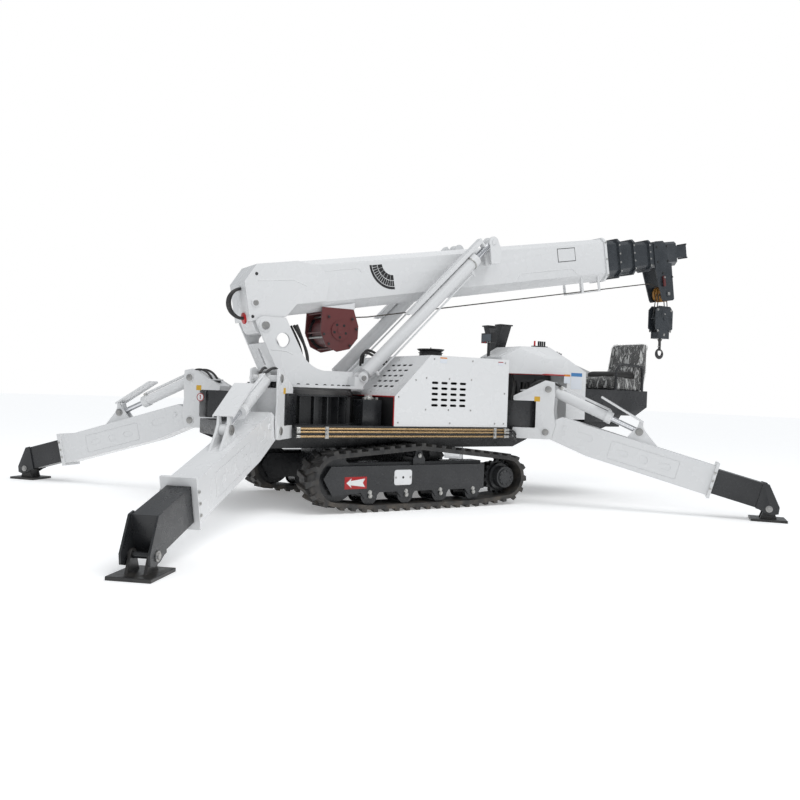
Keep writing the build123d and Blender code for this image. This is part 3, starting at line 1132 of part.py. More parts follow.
def leg_bracket():
    """Swing bracket: two shaped side plates joined by arms over and under the corner arm."""
    low_h, low_z = LEG_LOW_PIN
    high_h, high_z = LEG_HIGH_PIN
    notch_top, notch_bottom = ARM_TOP + ARM_CROSS, ARM_BOTTOM - ARM_CROSS
    notch_h = ARM_HALF + 14
    bottom = notch_bottom - BRACKET_ARM - 10
    outline = [(-BRACKET_BACK, notch_top), (-BRACKET_BACK, notch_top + 44), (high_h - 30, high_z + 86),
               (high_h + 60, high_z + 70), (high_h + 66, high_z - 60), (low_h + 72, low_z + 210),
               (low_h + 92, low_z + 70), (low_h + 60, bottom + 8), (low_h + 20, bottom),
               (-BRACKET_BACK, bottom), (-BRACKET_BACK, notch_bottom), (notch_h, notch_bottom),
               (notch_h, notch_top)]
    side = across(fillet(side_face(outline).vertices(), 12), BRACKET_HALF - BRACKET_PLATE, BRACKET_HALF)
    solids = [side, mirrored(side)]
    inner = BRACKET_HALF - BRACKET_PLATE + 1
    for z0, z1 in ((notch_top, notch_top + 40), (bottom, notch_bottom)):
        arm = block(-BRACKET_BACK + 20, notch_h + 20, -inner, inner, z0, z1)
        solids.append(arm)
    solids.append(block(notch_h + 2, notch_h + 20, -inner, inner, notch_bottom - 5, notch_top + 5))
    cap = plate([(-BRACKET_BACK + 20, notch_top + 30), (-BRACKET_BACK + 20, notch_top + 44),
                 (high_h - 60, high_z + 72), (high_h - 60, high_z + 58)], -inner, inner)
    solids.append(cap)
    solids.append(pin_y(high_h, high_z, LEG_PIN, -BRACKET_HALF - 12, BRACKET_HALF + 12))
    solids.append(pin_y(low_h, low_z, LEG_PIN, -BRACKET_HALF - 12, BRACKET_HALF + 12))
    body = union(solids)
    low, high = ARM_BOTTOM - BRACKET_ARM, ARM_TOP + BRACKET_ARM
    swing = Solid.make_cylinder(SWING_PIN + PIN_RUN, high - low + 0.6, Plane(origin=(0, 0, low - 0.3)))
    return body - swing


def leg_beam():
    """Outer beam of a leg: tapered box with pressed panels, end collar, pin boss and rod clevis."""
    top0, top1 = 184.0, 164.0
    low0, low1 = -104.0, -112.0
    end = BEAM_LENGTH
    outline = [(-52, -46), (-52, 60), (108, top0), (end - 10, top1), (end - 10, low1),
               (BEAM_SOLID, low0), (60, -56)]
    shell = leg_plate(outline, -BEAM_HALF, BEAM_HALF)
    cavity_top, cavity_low = EXTENSION_HIGH + 6, EXTENSION_LOW - 6
    cavity = leg_plate([(BEAM_SOLID, cavity_top), (end + 5, cavity_top), (end + 5, cavity_low),
                        (BEAM_SOLID, cavity_low)], -BEAM_HALF + BEAM_WALL, BEAM_HALF - BEAM_WALL)
    collar = leg_plate([(end - COLLAR, top1 + 34), (end, top1 + 34), (end, low1 - 22),
                        (end - COLLAR, low1 - 22)], -BEAM_HALF - 22, BEAM_HALF + 22)
    mouth = leg_plate([(end - 80, EXTENSION_HIGH + RUN), (end + 5, EXTENSION_HIGH + RUN),
                       (end + 5, EXTENSION_LOW - RUN), (end - 80, EXTENSION_LOW - RUN)],
                      -EXTENSION_HALF - RUN, EXTENSION_HALF + RUN)
    liner = leg_plate([(end - 70, cavity_top + 2), (end - 2, cavity_top + 2), (end - 2, cavity_low - 2),
                       (end - 70, cavity_low - 2)], -BEAM_HALF + BEAM_WALL - 1,
                      BEAM_HALF - BEAM_WALL + 1)
    body = union([shell, collar]) - cavity
    body = (body + liner) - mouth
    s, t = ROD_EYE
    gap = LEG_EYE_WIDTH / 2 + 2
    for side in (-1, 1):
        y0, y1 = sorted((side * gap, side * (gap + 18)))
        ear = leg_plate([(s - 100, top0 - 20), (s - 52, t + 6), (s - 30, t + 44), (s - 26, t + 100),
                         (s + 4, t + 100), (s + 24, t + 46), (s + 62, t + 8), (s + 200, top1 + 6),
                         (s + 200, top0 - 30)], y0, y1)
        h, z = leg_point(s, t)
        y2, y3 = sorted((side * gap, side * (gap + 26)))
        body = body + ear + pin_y(h, z, LEG_PIN, y2, y3)
    body = body + rod_guard()
    h, z = leg_point(167, 91)
    body = body + pin_y(h, z, 22, -BEAM_HALF - 9, BEAM_HALF + 9)
    body = body - panel_cuts()
    low_h, low_z = LEG_LOW_PIN
    boss = pin_y(low_h, low_z, LEG_PIN + 24, -BEAM_HALF, BEAM_HALF)
    return (body + boss) - pin_y(low_h, low_z, LEG_PIN + PIN_RUN, -BEAM_HALF - 1, BEAM_HALF + 1)


def panel_cuts():
    """Shallow pressings in the beam's sides: slots, a round one and the panel around them."""
    depth = 3.0
    cuts = []
    drop = radians(LEG_DROP)
    for side in (-1, 1):
        def sketch_at(s, t, shape):
            h, z = leg_point(s, t)
            plane = Plane(origin=(h, side * BEAM_HALF, z), x_dir=(cos(drop), 0, -sin(drop)),
                          z_dir=(0, -1, 0))
            return extrude(plane * shape, amount=depth, both=True)

        cuts.append(sketch_at(356, 66, SlotOverall(170, 62)))
        for s, long in ((735, 110), (1130, 110)):
            cuts.append(sketch_at(s, 25, SlotOverall(long, 56)))
        cuts.append(sketch_at(932, 25, Circle(40)))
        frame = RectangleRounded(640, 176, 14) - RectangleRounded(628, 164, 10)
        cuts.append(sketch_at(930, 24, frame))
    return cuts


def foot_pin_s():
    """How far along the beam the foot's pin lies, so that the pad stands on the floor."""
    drop = radians(LEG_DROP)
    return (LEG_LOW_PIN[1] + FOOT_PIN_T * cos(drop) - FOOT_PIN_Z) / sin(drop)


def leg_extension():
    """Black inner beam with tail pads, stop bolt and the two cheeks that hold the foot."""
    s1 = foot_pin_s()
    start = s1 - CHEEK_BACK
    high, low = EXTENSION_HIGH, EXTENSION_LOW
    solid = leg_plate([(EXTENSION_TAIL, high), (start + 40, high), (start + 40, low),
                       (EXTENSION_TAIL, low)], -EXTENSION_HALF, EXTENSION_HALF)
    hollow = leg_plate([(EXTENSION_TAIL - 1, high - 10), (start + 28, high - 10),
                        (start + 28, low + 10), (EXTENSION_TAIL - 1, low + 10)], -EXTENSION_HALF + 10,
                       EXTENSION_HALF - 10)
    cavity_top, cavity_low = EXTENSION_HIGH + 6, EXTENSION_LOW - 6
    tail = leg_plate([(EXTENSION_TAIL, cavity_top - RUN), (EXTENSION_TAIL + 70, cavity_top - RUN),
                      (EXTENSION_TAIL + 70, high - 1), (EXTENSION_TAIL, high - 1)],
                     -BEAM_HALF + BEAM_WALL + RUN, BEAM_HALF - BEAM_WALL - RUN)
    sides = leg_plate([(EXTENSION_TAIL, cavity_top - RUN), (EXTENSION_TAIL + 70, cavity_top - RUN),
                       (EXTENSION_TAIL + 70, low + 14), (EXTENSION_TAIL, low + 14)], EXTENSION_HALF - 1,
                      BEAM_HALF - BEAM_WALL - RUN)
    t = FOOT_PIN_T
    cheek = leg_plate([(start, high + 6), (start + 52, high + 6), (s1 + 78, t + 40), (s1 + 86, t - 20),
                       (s1 + 40, t - 46), (s1 - 30, t - 46), (s1 - 80, low - 6), (start, low - 6)],
                      CHEEK_HALF - CHEEK_PLATE, CHEEK_HALF)
    h, z = leg_point(s1, t)
    pin = pin_y(h, z, FOOT_PIN, -CHEEK_HALF - 7, CHEEK_HALF + 7)
    body = union([solid - hollow, tail, sides, mirrored(sides), cheek, mirrored(cheek), pin])
    return body


def foot():
    """Foot: square pad with turned-up edge and two lugs on the leg's pin."""
    s1 = foot_pin_s()
    h, z = leg_point(s1, FOOT_PIN_T)
    pad = block(h - PAD_LONG / 2, h + PAD_LONG / 2, -PAD_WIDE / 2, PAD_WIDE / 2, 0, PAD_THICK)
    lug = plate([(h - 70, PAD_THICK - 2), (h + 70, PAD_THICK - 2), (h + 34, z + 8), (h - 34, z + 8)],
                FOOT_LUG - 9, FOOT_LUG + 9)
    lug = lug + pin_y(h, z, 36, FOOT_LUG - 9, FOOT_LUG + 9)
    return union([pad, lug, mirrored(lug)]) - pin_y(h, z, FOOT_PIN + PIN_RUN, -200, 200)


def leg_line():
    """Upper pin, rod eye and the distance between them, in the leg's plane."""
    high = leg_point(*ROD_EYE)
    run = hypot(high[0] - LEG_HIGH_PIN[0], high[1] - LEG_HIGH_PIN[1])
    return LEG_HIGH_PIN, high, run


def leg_barrel():
    """Barrel of a leg cylinder with its eye, gland and pipe."""
    low, high, run = leg_line()

    def at(distance, offset=0.0):
        h, z = along_cylinder(low, high, distance, offset)
        return (h, 0, z)

    tube = rod(at(LEG_EYE + 22), at(LEG_BARREL_LENGTH), LEG_BARREL)
    gland = rod(at(LEG_BARREL_LENGTH - 60), at(LEG_BARREL_LENGTH), LEG_BARREL + 8)
    bore = rod(at(LEG_EYE + 50), at(LEG_BARREL_LENGTH - 50), LEG_BORE)
    throat = rod(at(LEG_BARREL_LENGTH - 51), at(LEG_BARREL_LENGTH + 1), LEG_ROD + RUN)
    neck = rod(at(15), at(LEG_EYE + 30), LEG_EYE_WIDTH / 2)
    eye = pin_y(low[0], low[1], LEG_EYE, -LEG_EYE_WIDTH / 2, LEG_EYE_WIDTH / 2)
    pipe = rod(at(LEG_EYE + 60, LEG_BARREL + 12), at(LEG_BARREL_LENGTH - 46, LEG_BARREL + 12), 6)
    port = rod(at(LEG_BARREL_LENGTH - 40, LEG_BARREL - 4), at(LEG_BARREL_LENGTH - 40, LEG_BARREL + 19), 13)
    valve = rod(at(LEG_EYE + 62, LEG_BARREL - 4), at(LEG_EYE + 62, LEG_BARREL + 24), 20)
    body = union([tube, gland, neck, eye, pipe, port, valve]) - bore - throat
    return body - pin_y(low[0], low[1], LEG_PIN + PIN_RUN, -60, 60)


def leg_rod():
    """Rod of a leg cylinder with its eye and piston."""
    low, high, run = leg_line()

    def at(distance):
        h, z = along_cylinder(low, high, distance)
        return (h, 0, z)

    shaft = rod(at(run - LEG_ROD_TAIL), at(run - LEG_EYE + 8), LEG_ROD)
    piston = rod(at(run - LEG_ROD_TAIL), at(run - LEG_ROD_TAIL + 50), LEG_BORE - RUN)
    eye = pin_y(high[0], high[1], LEG_EYE - 4, -LEG_EYE_WIDTH / 2, LEG_EYE_WIDTH / 2)
    return union([shaft, piston, eye])


def rod_guard():
    """White guard sheet over the cylinder, welded on the rod clevis."""
    s, t = ROD_EYE[0] + 10, ROD_EYE[1] + 98
    lean = radians(GUARD_LEAN)
    end_s, end_t = s - GUARD_PLATE * cos(lean), t + GUARD_PLATE * sin(lean)
    sheet = leg_plate([(s, t), (s, t + GUARD_SHEET), (end_s, end_t + GUARD_SHEET), (end_s, end_t)],
                      -GUARD_WIDE / 2, GUARD_WIDE / 2)
    rim = leg_plate([(s, t - 12), (s, t + 1), (end_s, end_t + 1), (end_s, end_t - 12)],
                    GUARD_WIDE / 2 - 5, GUARD_WIDE / 2)
    return union([sheet, rim, mirrored(rim)])


def place_leg(shape, sx, sy):
    """Move a shape from a leg's own plane to its corner of the machine."""
    angle = degrees(atan2(sy * sin(radians(LEG_ANGLE)), sx * cos(radians(LEG_ANGLE))))
    return Pos(sx * SWING_X, sy * SWING_Y, 0) * Rot(0, 0, angle) * shape


def build_nodes():
    """All sub-parts by name, standing on Z = 0 about the middle of the tracks."""
    nodes = {
        "chassis_frame": chassis_frame(),
        "slew_ring": slew_ring(),
        "track_left": track(-1),
        "track_right": track(1),
        "track_frame_left": track_frame(-1),
        "track_frame_right": track_frame(1),
        "engine_hood": engine_hood(),
        "engine_block": engine_block(),
        "intake_cap": intake_cap(),
        "boom_rest": boom_rest(),
        "control_console": console(),
        "controls": Compound([controls(), display()]),
        "valve_bank": valve_bank(),
        "side_cover": side_cover(),
        "seat_box": seat_box(),
        "seat": seat(),
        "hydraulic_tank": hydraulic_tank(),
        "chassis_pipes": Compound([chassis_pipes(), mirrored(chassis_pipes())]),
        "tower": tower(),
        "luff_barrel_left": mirrored(luff_barrel()),
        "luff_barrel_right": luff_barrel(),
        "luff_rod_left": mirrored(luff_rod()),
        "luff_rod_right": luff_rod(),
        "boom_base": boom_base(),
        "winch": winch(),
        "boom_section_2": boom_section(1),
        "boom_section_3": boom_section(2),
        "boom_section_4": boom_section(3),
        "boom_tip": boom_tip(),
        "head_sheaves": head_sheaves(),
        "hook_block": hook_block(),
        "hook": hook(),
    }
    leg_parts = {"bracket": leg_bracket(), "beam": leg_beam(), "extension": leg_extension(), "foot": foot(),
                 "cylinder": leg_barrel(), "rod": leg_rod()}
    for name, (sx, sy) in LEGS.items():
        for part_name, shape in leg_parts.items():
            nodes[f"{name}_{part_name}"] = place_leg(shape, sx, sy)
    return nodes


NODES = build_nodes()
BOUNDS = Compound(list(NODES.values())).bounding_box()
ORIGIN_X = (BOUNDS.min.X + BOUNDS.max.X) / 2

os.makedirs("parts", exist_ok=True)
for node_name, node_shape in NODES.items():
    export_step(Pos(-ORIGIN_X, 0, 0) * node_shape, f"parts/{node_name}.step")
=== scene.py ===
import json
import math
import random

import bmesh
import bpy
from mathutils import Matrix, Vector


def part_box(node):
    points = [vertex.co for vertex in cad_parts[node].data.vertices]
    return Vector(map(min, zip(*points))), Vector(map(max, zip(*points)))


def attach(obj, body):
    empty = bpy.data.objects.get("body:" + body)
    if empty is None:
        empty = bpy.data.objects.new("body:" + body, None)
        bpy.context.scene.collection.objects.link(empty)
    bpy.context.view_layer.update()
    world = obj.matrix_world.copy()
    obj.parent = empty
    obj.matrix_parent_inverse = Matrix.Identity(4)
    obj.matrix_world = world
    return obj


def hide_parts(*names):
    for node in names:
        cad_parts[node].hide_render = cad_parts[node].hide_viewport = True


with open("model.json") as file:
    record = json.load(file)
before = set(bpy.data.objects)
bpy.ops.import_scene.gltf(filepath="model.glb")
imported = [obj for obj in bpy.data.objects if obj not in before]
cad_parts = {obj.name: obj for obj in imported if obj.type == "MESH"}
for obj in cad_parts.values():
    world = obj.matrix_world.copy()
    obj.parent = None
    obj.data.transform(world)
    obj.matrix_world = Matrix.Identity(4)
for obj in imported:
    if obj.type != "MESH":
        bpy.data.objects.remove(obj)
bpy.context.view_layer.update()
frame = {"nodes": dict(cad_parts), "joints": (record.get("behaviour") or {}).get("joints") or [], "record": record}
joints = {joint["name"]: joint for joint in frame["joints"]}

# Carrier frame: a welded steel box with deck, corner arms and the ribbed turntable pedestal.
# It is sprayed glossy black, and the rear platform for the driver is welded on behind.
BLACK = (0.016, 0.017, 0.019, 1)
BLACK_WORN = (0.035, 0.036, 0.038, 1)
DUST_TOP, DUST_SHARE = 0.5, 0.75
EDGE_RADIUS, GRAIN_DEPTH = 0.003, 0.002
TONE_BAND, DUST_BAND, GLOSS_BAND = (0.35, 0.7), (0.42, 0.72), (0.3, 0.7)


def dial(node, values):
    """Set sockets of a node to numbers and colours, or link them to other nodes' outputs."""
    for socket, value in values.items():
        if isinstance(value, bpy.types.NodeSocket):
            node.id_data.links.new(value, node.inputs[socket])
        else:
            node.inputs[socket].default_value = value


def made(tree, kind, values, output=0, **settings):
    """A new node's output, once its settings and its sockets are set."""
    node = tree.nodes.new(kind)
    for name, value in settings.items():
        setattr(node, name, value)
    dial(node, values)
    return node.outputs[output]


def coat(name, colour, second, roughness, patches=3.0, grain=260.0, bump=0.03, metal=0.0, dust=None):
    """A painted, moulded or bare surface: two close tones in soft patches, a fine grain and dust low down."""
    material = bpy.data.materials.new(name)
    material.use_nodes = True
    tree = material.node_tree
    place = made(tree, "ShaderNodeTexCoord", {}, "Object")

    def noise(scale, detail):
        return made(tree, "ShaderNodeTexNoise", {"Vector": place, "Scale": scale, "Detail": detail}, "Fac")

    def mixed(factor, first, other):
        return made(tree, "ShaderNodeMix", {0: factor, 6: first, 7: other}, 2, data_type="RGBA")

    def spread(value, low, high, to_low, to_high):
        return made(tree, "ShaderNodeMapRange", {
            "Value": value, "From Min": low, "From Max": high, "To Min": to_low, "To Max": to_high}, "Result")

    tone = mixed(spread(noise(patches, 5), *TONE_BAND, 0, 1), colour, second)
    if dust:
        height = made(tree, "ShaderNodeSeparateXYZ", {0: place}, "Z")
        share = made(tree, "ShaderNodeMath", {
            0: spread(height, 0.0, DUST_TOP, DUST_SHARE, 0.0), 1: spread(noise(11, 6), *DUST_BAND, 0, 1)},
            operation="MULTIPLY")
        tone = mixed(share, tone, dust)
    gloss = spread(noise(patches * 4, 4), *GLOSS_BAND, roughness - 0.05, roughness + 0.09)
    edge = made(tree, "ShaderNodeBevel", {"Radius": EDGE_RADIUS}, samples=4)
    relief = made(tree, "ShaderNodeBump", {
        "Normal": edge, "Strength": bump, "Distance": GRAIN_DEPTH, "Height": noise(grain, 3)})
    dial(tree.nodes["Principled BSDF"], {
        "Base Color": tone, "Metallic": metal, "Roughness": gloss, "Normal": relief})
    return material


def linked(name, mesh):
    """A new object at the origin that shows this mesh."""
    piece = bpy.data.objects.new(name, mesh)
    bpy.context.scene.collection.objects.link(piece)
    return piece


def baked(piece):
    """The piece with its modifiers worked into its mesh."""
    graph = bpy.context.evaluated_depsgraph_get()
    mesh = bpy.data.meshes.new_from_object(piece.evaluated_get(graph))
    piece.modifiers.clear()
    piece.data = mesh
    return piece


def smooth(mesh, angle=32):
    """Smooth shading that stays crisp at edges sharper than the angle."""
    mesh.shade_smooth()
    mesh.set_sharp_from_angle(angle=math.radians(angle))


def eased(piece, width, sharp):
    """The piece with the edges sharper than this angle rounded to this width, in two facets."""
    bevel = piece.modifiers.new("Edges", "BEVEL")
    bevel.width, bevel.segments = width, 2
    bevel.limit_method, bevel.angle_limit = "ANGLE", math.radians(sharp)
    return baked(piece)


BODIES = {node: body for body, nodes in frame["record"]["behaviour"]["bodies"].items() for node in nodes}
SAME_POINT, SAME_PLANE = 2e-5, math.radians(0.6)
SKIN_SHARP, SKIN_SMOOTH, KIT_SHARP = 32, 22, 35


def skin(node, materials, edge=0.003, choose=None):
    """A copy of a CAD node with its edges rounded, shown in place of the node.

    The choose function gives a face's material from its centre and its normal."""
    mesh = frame["nodes"][node].data.copy()
    mesh.materials.clear()
    for material in materials:
        mesh.materials.append(material)
    work = bmesh.new()
    work.from_mesh(mesh)
    bmesh.ops.remove_doubles(work, verts=work.verts, dist=SAME_POINT)
    bmesh.ops.dissolve_limit(work, angle_limit=SAME_PLANE, verts=work.verts, edges=work.edges)
    for face in work.faces:
        face.material_index = choose(face.calc_center_median(), face.normal) if choose else 0
    work.to_mesh(mesh)
    work.free()
    piece = eased(linked(node + "_skin", mesh), edge, SKIN_SHARP)
    smooth(piece.data, SKIN_SMOOTH)
    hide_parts(node)
    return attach(piece, BODIES[node])


black_paint = coat("black_paint", BLACK, BLACK_WORN, 0.26, bump=0.02)
skin("chassis_frame", [black_paint])
ring_steel = coat("ring_steel", (0.06, 0.06, 0.062, 1), (0.13, 0.125, 0.12, 1), 0.32, metal=0.7)
skin("slew_ring", [ring_steel], 0.002)


# Rubber tracks on their steel frames. The belts are moulded black rubber with chevron lugs, dusty from
# the yard; the frames are painted black and bolted to the carrier's cross members, with a bolted hub.
RUBBER = (0.020, 0.020, 0.021, 1)
RUBBER_GREY = (0.050, 0.048, 0.045, 1)
YARD_DUST = (0.13, 0.105, 0.08, 1)
rubber = coat("track_rubber", RUBBER, RUBBER_GREY, 0.55, patches=14, grain=140, bump=0.12, dust=YARD_DUST)
zinc = coat("zinc_plate", (0.42, 0.42, 0.41, 1), (0.56, 0.55, 0.52, 1), 0.30, patches=60, metal=0.85)


CHAMFER_RISE = 0.002


def polar(radius, turn):
    """X and Y of a point at this radius and angle."""
    return radius * math.cos(turn), radius * math.sin(turn)


class Kit:
    """Meshes gathered for one piece, each with the index of its material."""

    def __init__(self):
        self.work = bmesh.new()

    def add(self, points, faces, place=Matrix(), index=0):
        """Faces over points, moved to a place, in the material of this index."""
        corners = [self.work.verts.new(place @ Vector(point)) for point in points]
        for face in faces:
            self.work.faces.new([corners[i] for i in face]).material_index = index

    def tube(self, rings, place=Matrix(), index=0):
        """A skin over rings of as many points each, closed at both ends."""
        count, last = len(rings[0]), (len(rings) - 1) * len(rings[0])
        faces = [tuple(reversed(range(count))), tuple(range(last, last + count))]
        for low in range(0, last, count):
            pairs = [(low + k, low + (k + 1) % count) for k in range(count)]
            faces += [(first, second, second + count, first + count) for first, second in pairs]
        self.add([point for ring in rings for point in ring], faces, place, index)

    def slab(self, outline, thick, place=Matrix(), index=0):
        """A plate with this outline in X and Y, standing on Z = 0."""
        self.tube([[(x, y, z) for x, y in outline] for z in (0, thick)], place, index)

    def turned(self, profile, place=Matrix(), count=28, index=0):
        """A turned piece: its profile of (radius, z) goes round Z."""
        turns = [math.tau * i / count for i in range(count)]
        self.tube([[(*polar(radius, turn), z) for turn in turns] for radius, z in profile], place, index)

    def plug(self, place, radius, top, count, index=0, base=0.0):
        """A round or many-sided boss from its base to its top."""
        self.turned([(0.0, base), (radius, base), (radius, top), (0.0, top)], place, count, index)

    def head(self, place, radius, top, count=28, index=0, base=0.0, chamfer=0.0):
        """A round pin head or washer, chamfered where a chamfer is given."""
        rim = [(radius, base), (radius, top - CHAMFER_RISE), (radius - chamfer, top)]
        self.turned((rim if chamfer else [(radius, base), (radius, top)]) + [(0.0, top)], place, count,
                    index)

    def bar(self, path, radius, count=10, index=0):
        """A round bar, pipe or rope along a line of points."""
        path = [Vector(point) for point in path]
        across = None
        rings = []
        for i, here in enumerate(path):
            before, after = path[max(i - 1, 0)], path[min(i + 1, len(path) - 1)]
            along = (after - before).normalized()
            if across is None:
                across = along.orthogonal().normalized()
            across = (across - along * across.dot(along)).normalized()
            other = along.cross(across)
            sides = [polar(radius, math.tau * k / count) for k in range(count)]
            rings.append([here + across * x + other * y for x, y in sides])
        self.tube(rings, index=index)

    def done(self, name, materials, body, slot=None, edge=0.0, angle=32):
        """The finished piece, with its faces outwards and its edges rounded, on its body."""
        bmesh.ops.remove_doubles(self.work, verts=self.work.verts, dist=1e-6)
        bmesh.ops.recalc_face_normals(self.work, faces=self.work.faces)
        mesh = bpy.data.meshes.new(name)
        self.work.to_mesh(mesh)
        self.work.free()
        for material in materials:
            mesh.materials.append(material)
        piece = linked(name, mesh)
        if edge:
            eased(piece, edge, KIT_SHARP)
        smooth(piece.data, angle)
        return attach(piece, body)


def rounded(width, height, radius, steps=5):
    """The outline of a rectangle with round corners about the origin."""
    outline = []
    for corner, (sx, sy) in enumerate(((1, 1), (-1, 1), (-1, -1), (1, -1))):
        for step in range(steps + 1):
            x, y = polar(radius, math.pi / 2 * (corner + step / steps))
            outline.append((sx * (width / 2 - radius) + x, sy * (height / 2 - radius) + y))
    return outline


def curve(count, point):
    """The points of a curve whose place is given for each share of its length."""
    return [point(k / count) for k in range(count + 1)]


def facing(point, out, up=(0, 0, 1)):
    """A place with its Z axis pointing out of a surface and its Y axis as near up as it goes."""
    z = Vector(out).normalized()
    x = Vector(up).cross(z).normalized()
    y = z.cross(x)
    return Matrix.Translation(point) @ Matrix((x, y, z)).transposed().to_4x4()


def bolt_tree():
    """Geometry Nodes that put a hexagon bolt with its washer on each point, along the point's axis."""
    tree = bpy.data.node_groups.new("Hexagon bolts", "GeometryNodeTree")
    tree.interface.new_socket("Points", in_out="INPUT", socket_type="NodeSocketGeometry")
    for label, size in (("Head radius", 0.011), ("Head height", 0.008)):
        tree.interface.new_socket(label, in_out="INPUT", socket_type="NodeSocketFloat").default_value = size
    tree.interface.new_socket("Finish", in_out="INPUT", socket_type="NodeSocketMaterial")
    tree.interface.new_socket("Bolts", in_out="OUTPUT", socket_type="NodeSocketGeometry")
    given, result = tree.nodes.new("NodeGroupInput"), tree.nodes.new("NodeGroupOutput")

    def scaled(socket, factor):
        return made(tree, "ShaderNodeMath", {0: socket, 1: factor}, operation="MULTIPLY")

    def disc(sides, low, high, tall, lift):
        cone = made(tree, "GeometryNodeMeshCone", {
            "Vertices": sides, "Radius Bottom": scaled(radius, low), "Radius Top": scaled(radius, high),
            "Depth": scaled(height, tall)}, "Mesh")
        place = made(tree, "ShaderNodeCombineXYZ", {"Z": scaled(height, lift)})
        return made(tree, "GeometryNodeTransform", {"Geometry": cone, "Translation": place})

    radius, height = given.outputs["Head radius"], given.outputs["Head height"]
    join = tree.nodes.new("GeometryNodeJoinGeometry")
    for sizes in ((20, 1.45, 1.4, 0.28, -0.02), (6, 1.12, 1.12, 0.7, 0.2), (6, 1.12, 0.9, 0.15, 0.9)):
        dial(join, {0: disc(*sizes)})
    axis = made(tree, "GeometryNodeInputNamedAttribute", {"Name": "axis"}, "Attribute",
                data_type="FLOAT_VECTOR")
    turn = made(tree, "FunctionNodeAlignRotationToVector", {"Vector": axis}, axis="Z")
    spread = made(tree, "GeometryNodeInstanceOnPoints", {
        "Points": given.outputs["Points"], "Instance": join.outputs[0], "Rotation": turn})
    whole = made(tree, "GeometryNodeRealizeInstances", {0: spread})
    dial(result, {0: made(tree, "GeometryNodeSetMaterial", {
        "Geometry": whole, "Material": given.outputs["Finish"]})})
    return tree


hexagon_bolts = bolt_tree()


def bolts(name, places, finish, body, size):
    """Bolts of a size (head radius, head height) at (point, axis) places, made a plain mesh on their body."""
    mesh = bpy.data.meshes.new(name)
    mesh.from_pydata([point for point, _ in places], [], [])
    axes = mesh.attributes.new("axis", "FLOAT_VECTOR", "POINT")
    axes.data.foreach_set("vector", [number for _, axis in places for number in axis])
    piece = linked(name, mesh)
    spread = piece.modifiers.new("Bolts", "NODES")
    spread.node_group = hexagon_bolts
    sockets = {item.name: item.identifier for item in hexagon_bolts.interface.items_tree}
    spread[sockets["Head radius"]], spread[sockets["Head height"]] = size
    spread[sockets["Finish"]] = finish
    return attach(baked(piece), body)


RED = (0.42, 0.012, 0.014, 1)
red_paint = coat("red_paint", RED, (0.36, 0.01, 0.012, 1), 0.35)
WHITE = (0.76, 0.765, 0.77, 1)
WHITE_SHADE = (0.745, 0.75, 0.755, 1)
white_paint = coat("white_paint", WHITE, WHITE_SHADE, 0.24, patches=1.6, grain=420, bump=0.035)
SIDES = [(sign, Vector((0, sign, 0))) for sign in (-1, 1)]
BOLT_6, BOLT_7, BOLT_8, BOLT_9 = (0.006, 0.004), (0.007, 0.005), (0.008, 0.006), (0.009, 0.006)
ROLLERS = [-1.2019 + 0.366 * i for i in range(4)]
ROLLER_Z, GUARD_BOLT_Z, GUARD_OUT = 0.140, 0.170, 0.010
CARRIER_ROLLER, CARRIER_IN = (-0.685, 0.478), 0.027
HUB, HUB_BOLTS, HUB_BOLT_CIRCLE = (0.2852, 0.262), 9, 0.064
ARROW_AT, ARROW_PLATE = (-1.343, 0.256), (0.214, 0.104)
ARROW = [(-0.090, 0), (-0.040, 0.042), (-0.050, 0.018), (0.090, 0.036), (0.068, 0), (0.090, -0.036),
         (-0.050, -0.018), (-0.040, -0.042)]
COVER_AT, COVER, COVER_THICK, COVER_BOLT = (-0.873, 0.292), (0.180, 0.134), 0.005, 0.074
for side, (sign, out) in zip(("left", "right"), SIDES):
    skin(f"track_{side}", [rubber])
    skin(f"track_frame_{side}", [black_paint])
    low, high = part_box(f"track_frame_{side}")
    face = low.y + GUARD_OUT if sign < 0 else high.y - GUARD_OUT

    def on_frame(x, z, lift=0.0):
        return (x, face + sign * lift, z)

    plates = Kit()
    arrow_place, cover_place = facing(on_frame(*ARROW_AT), out), facing(on_frame(*COVER_AT), out)
    plates.slab(rounded(*ARROW_PLATE, 0.004), 0.0012, arrow_place)
    plates.slab([(-sign * x, y) for x, y in ARROW], 0.0022, arrow_place, 1)
    plates.slab(rounded(*COVER, 0.022), COVER_THICK, cover_place, 1)
    plates.head(cover_place, 0.011, 0.0056, 20, 2)
    plates.done(f"frame_plates_{side}", [red_paint, white_paint, black_paint], "carrier", "white_paint",
                0.0006)
    places = [(on_frame(x, ROLLER_Z, GUARD_OUT), out) for x in ROLLERS]
    places += [(on_frame(x, GUARD_BOLT_Z), out) for x in ROLLERS]
    places += [(on_frame(*CARRIER_ROLLER, -CARRIER_IN), out)]
    bolts(f"roller_bolts_{side}", places, zinc, "carrier", (0.014, 0.011))
    circle = [polar(HUB_BOLT_CIRCLE, math.tau * i / HUB_BOLTS) for i in range(HUB_BOLTS)]
    rim = [(on_frame(HUB[0] + x, HUB[1] + z), out) for x, z in circle]
    bolts(f"hub_bolts_{side}", rim, black_paint, "carrier", BOLT_9)
    cover_bolts = [(on_frame(COVER_AT[0] + dx, COVER_AT[1], COVER_THICK), out)
                   for dx in (-COVER_BOLT, COVER_BOLT)]
    bolts(f"cover_bolts_{side}", cover_bolts, zinc, "carrier", (0.007, 0.004))

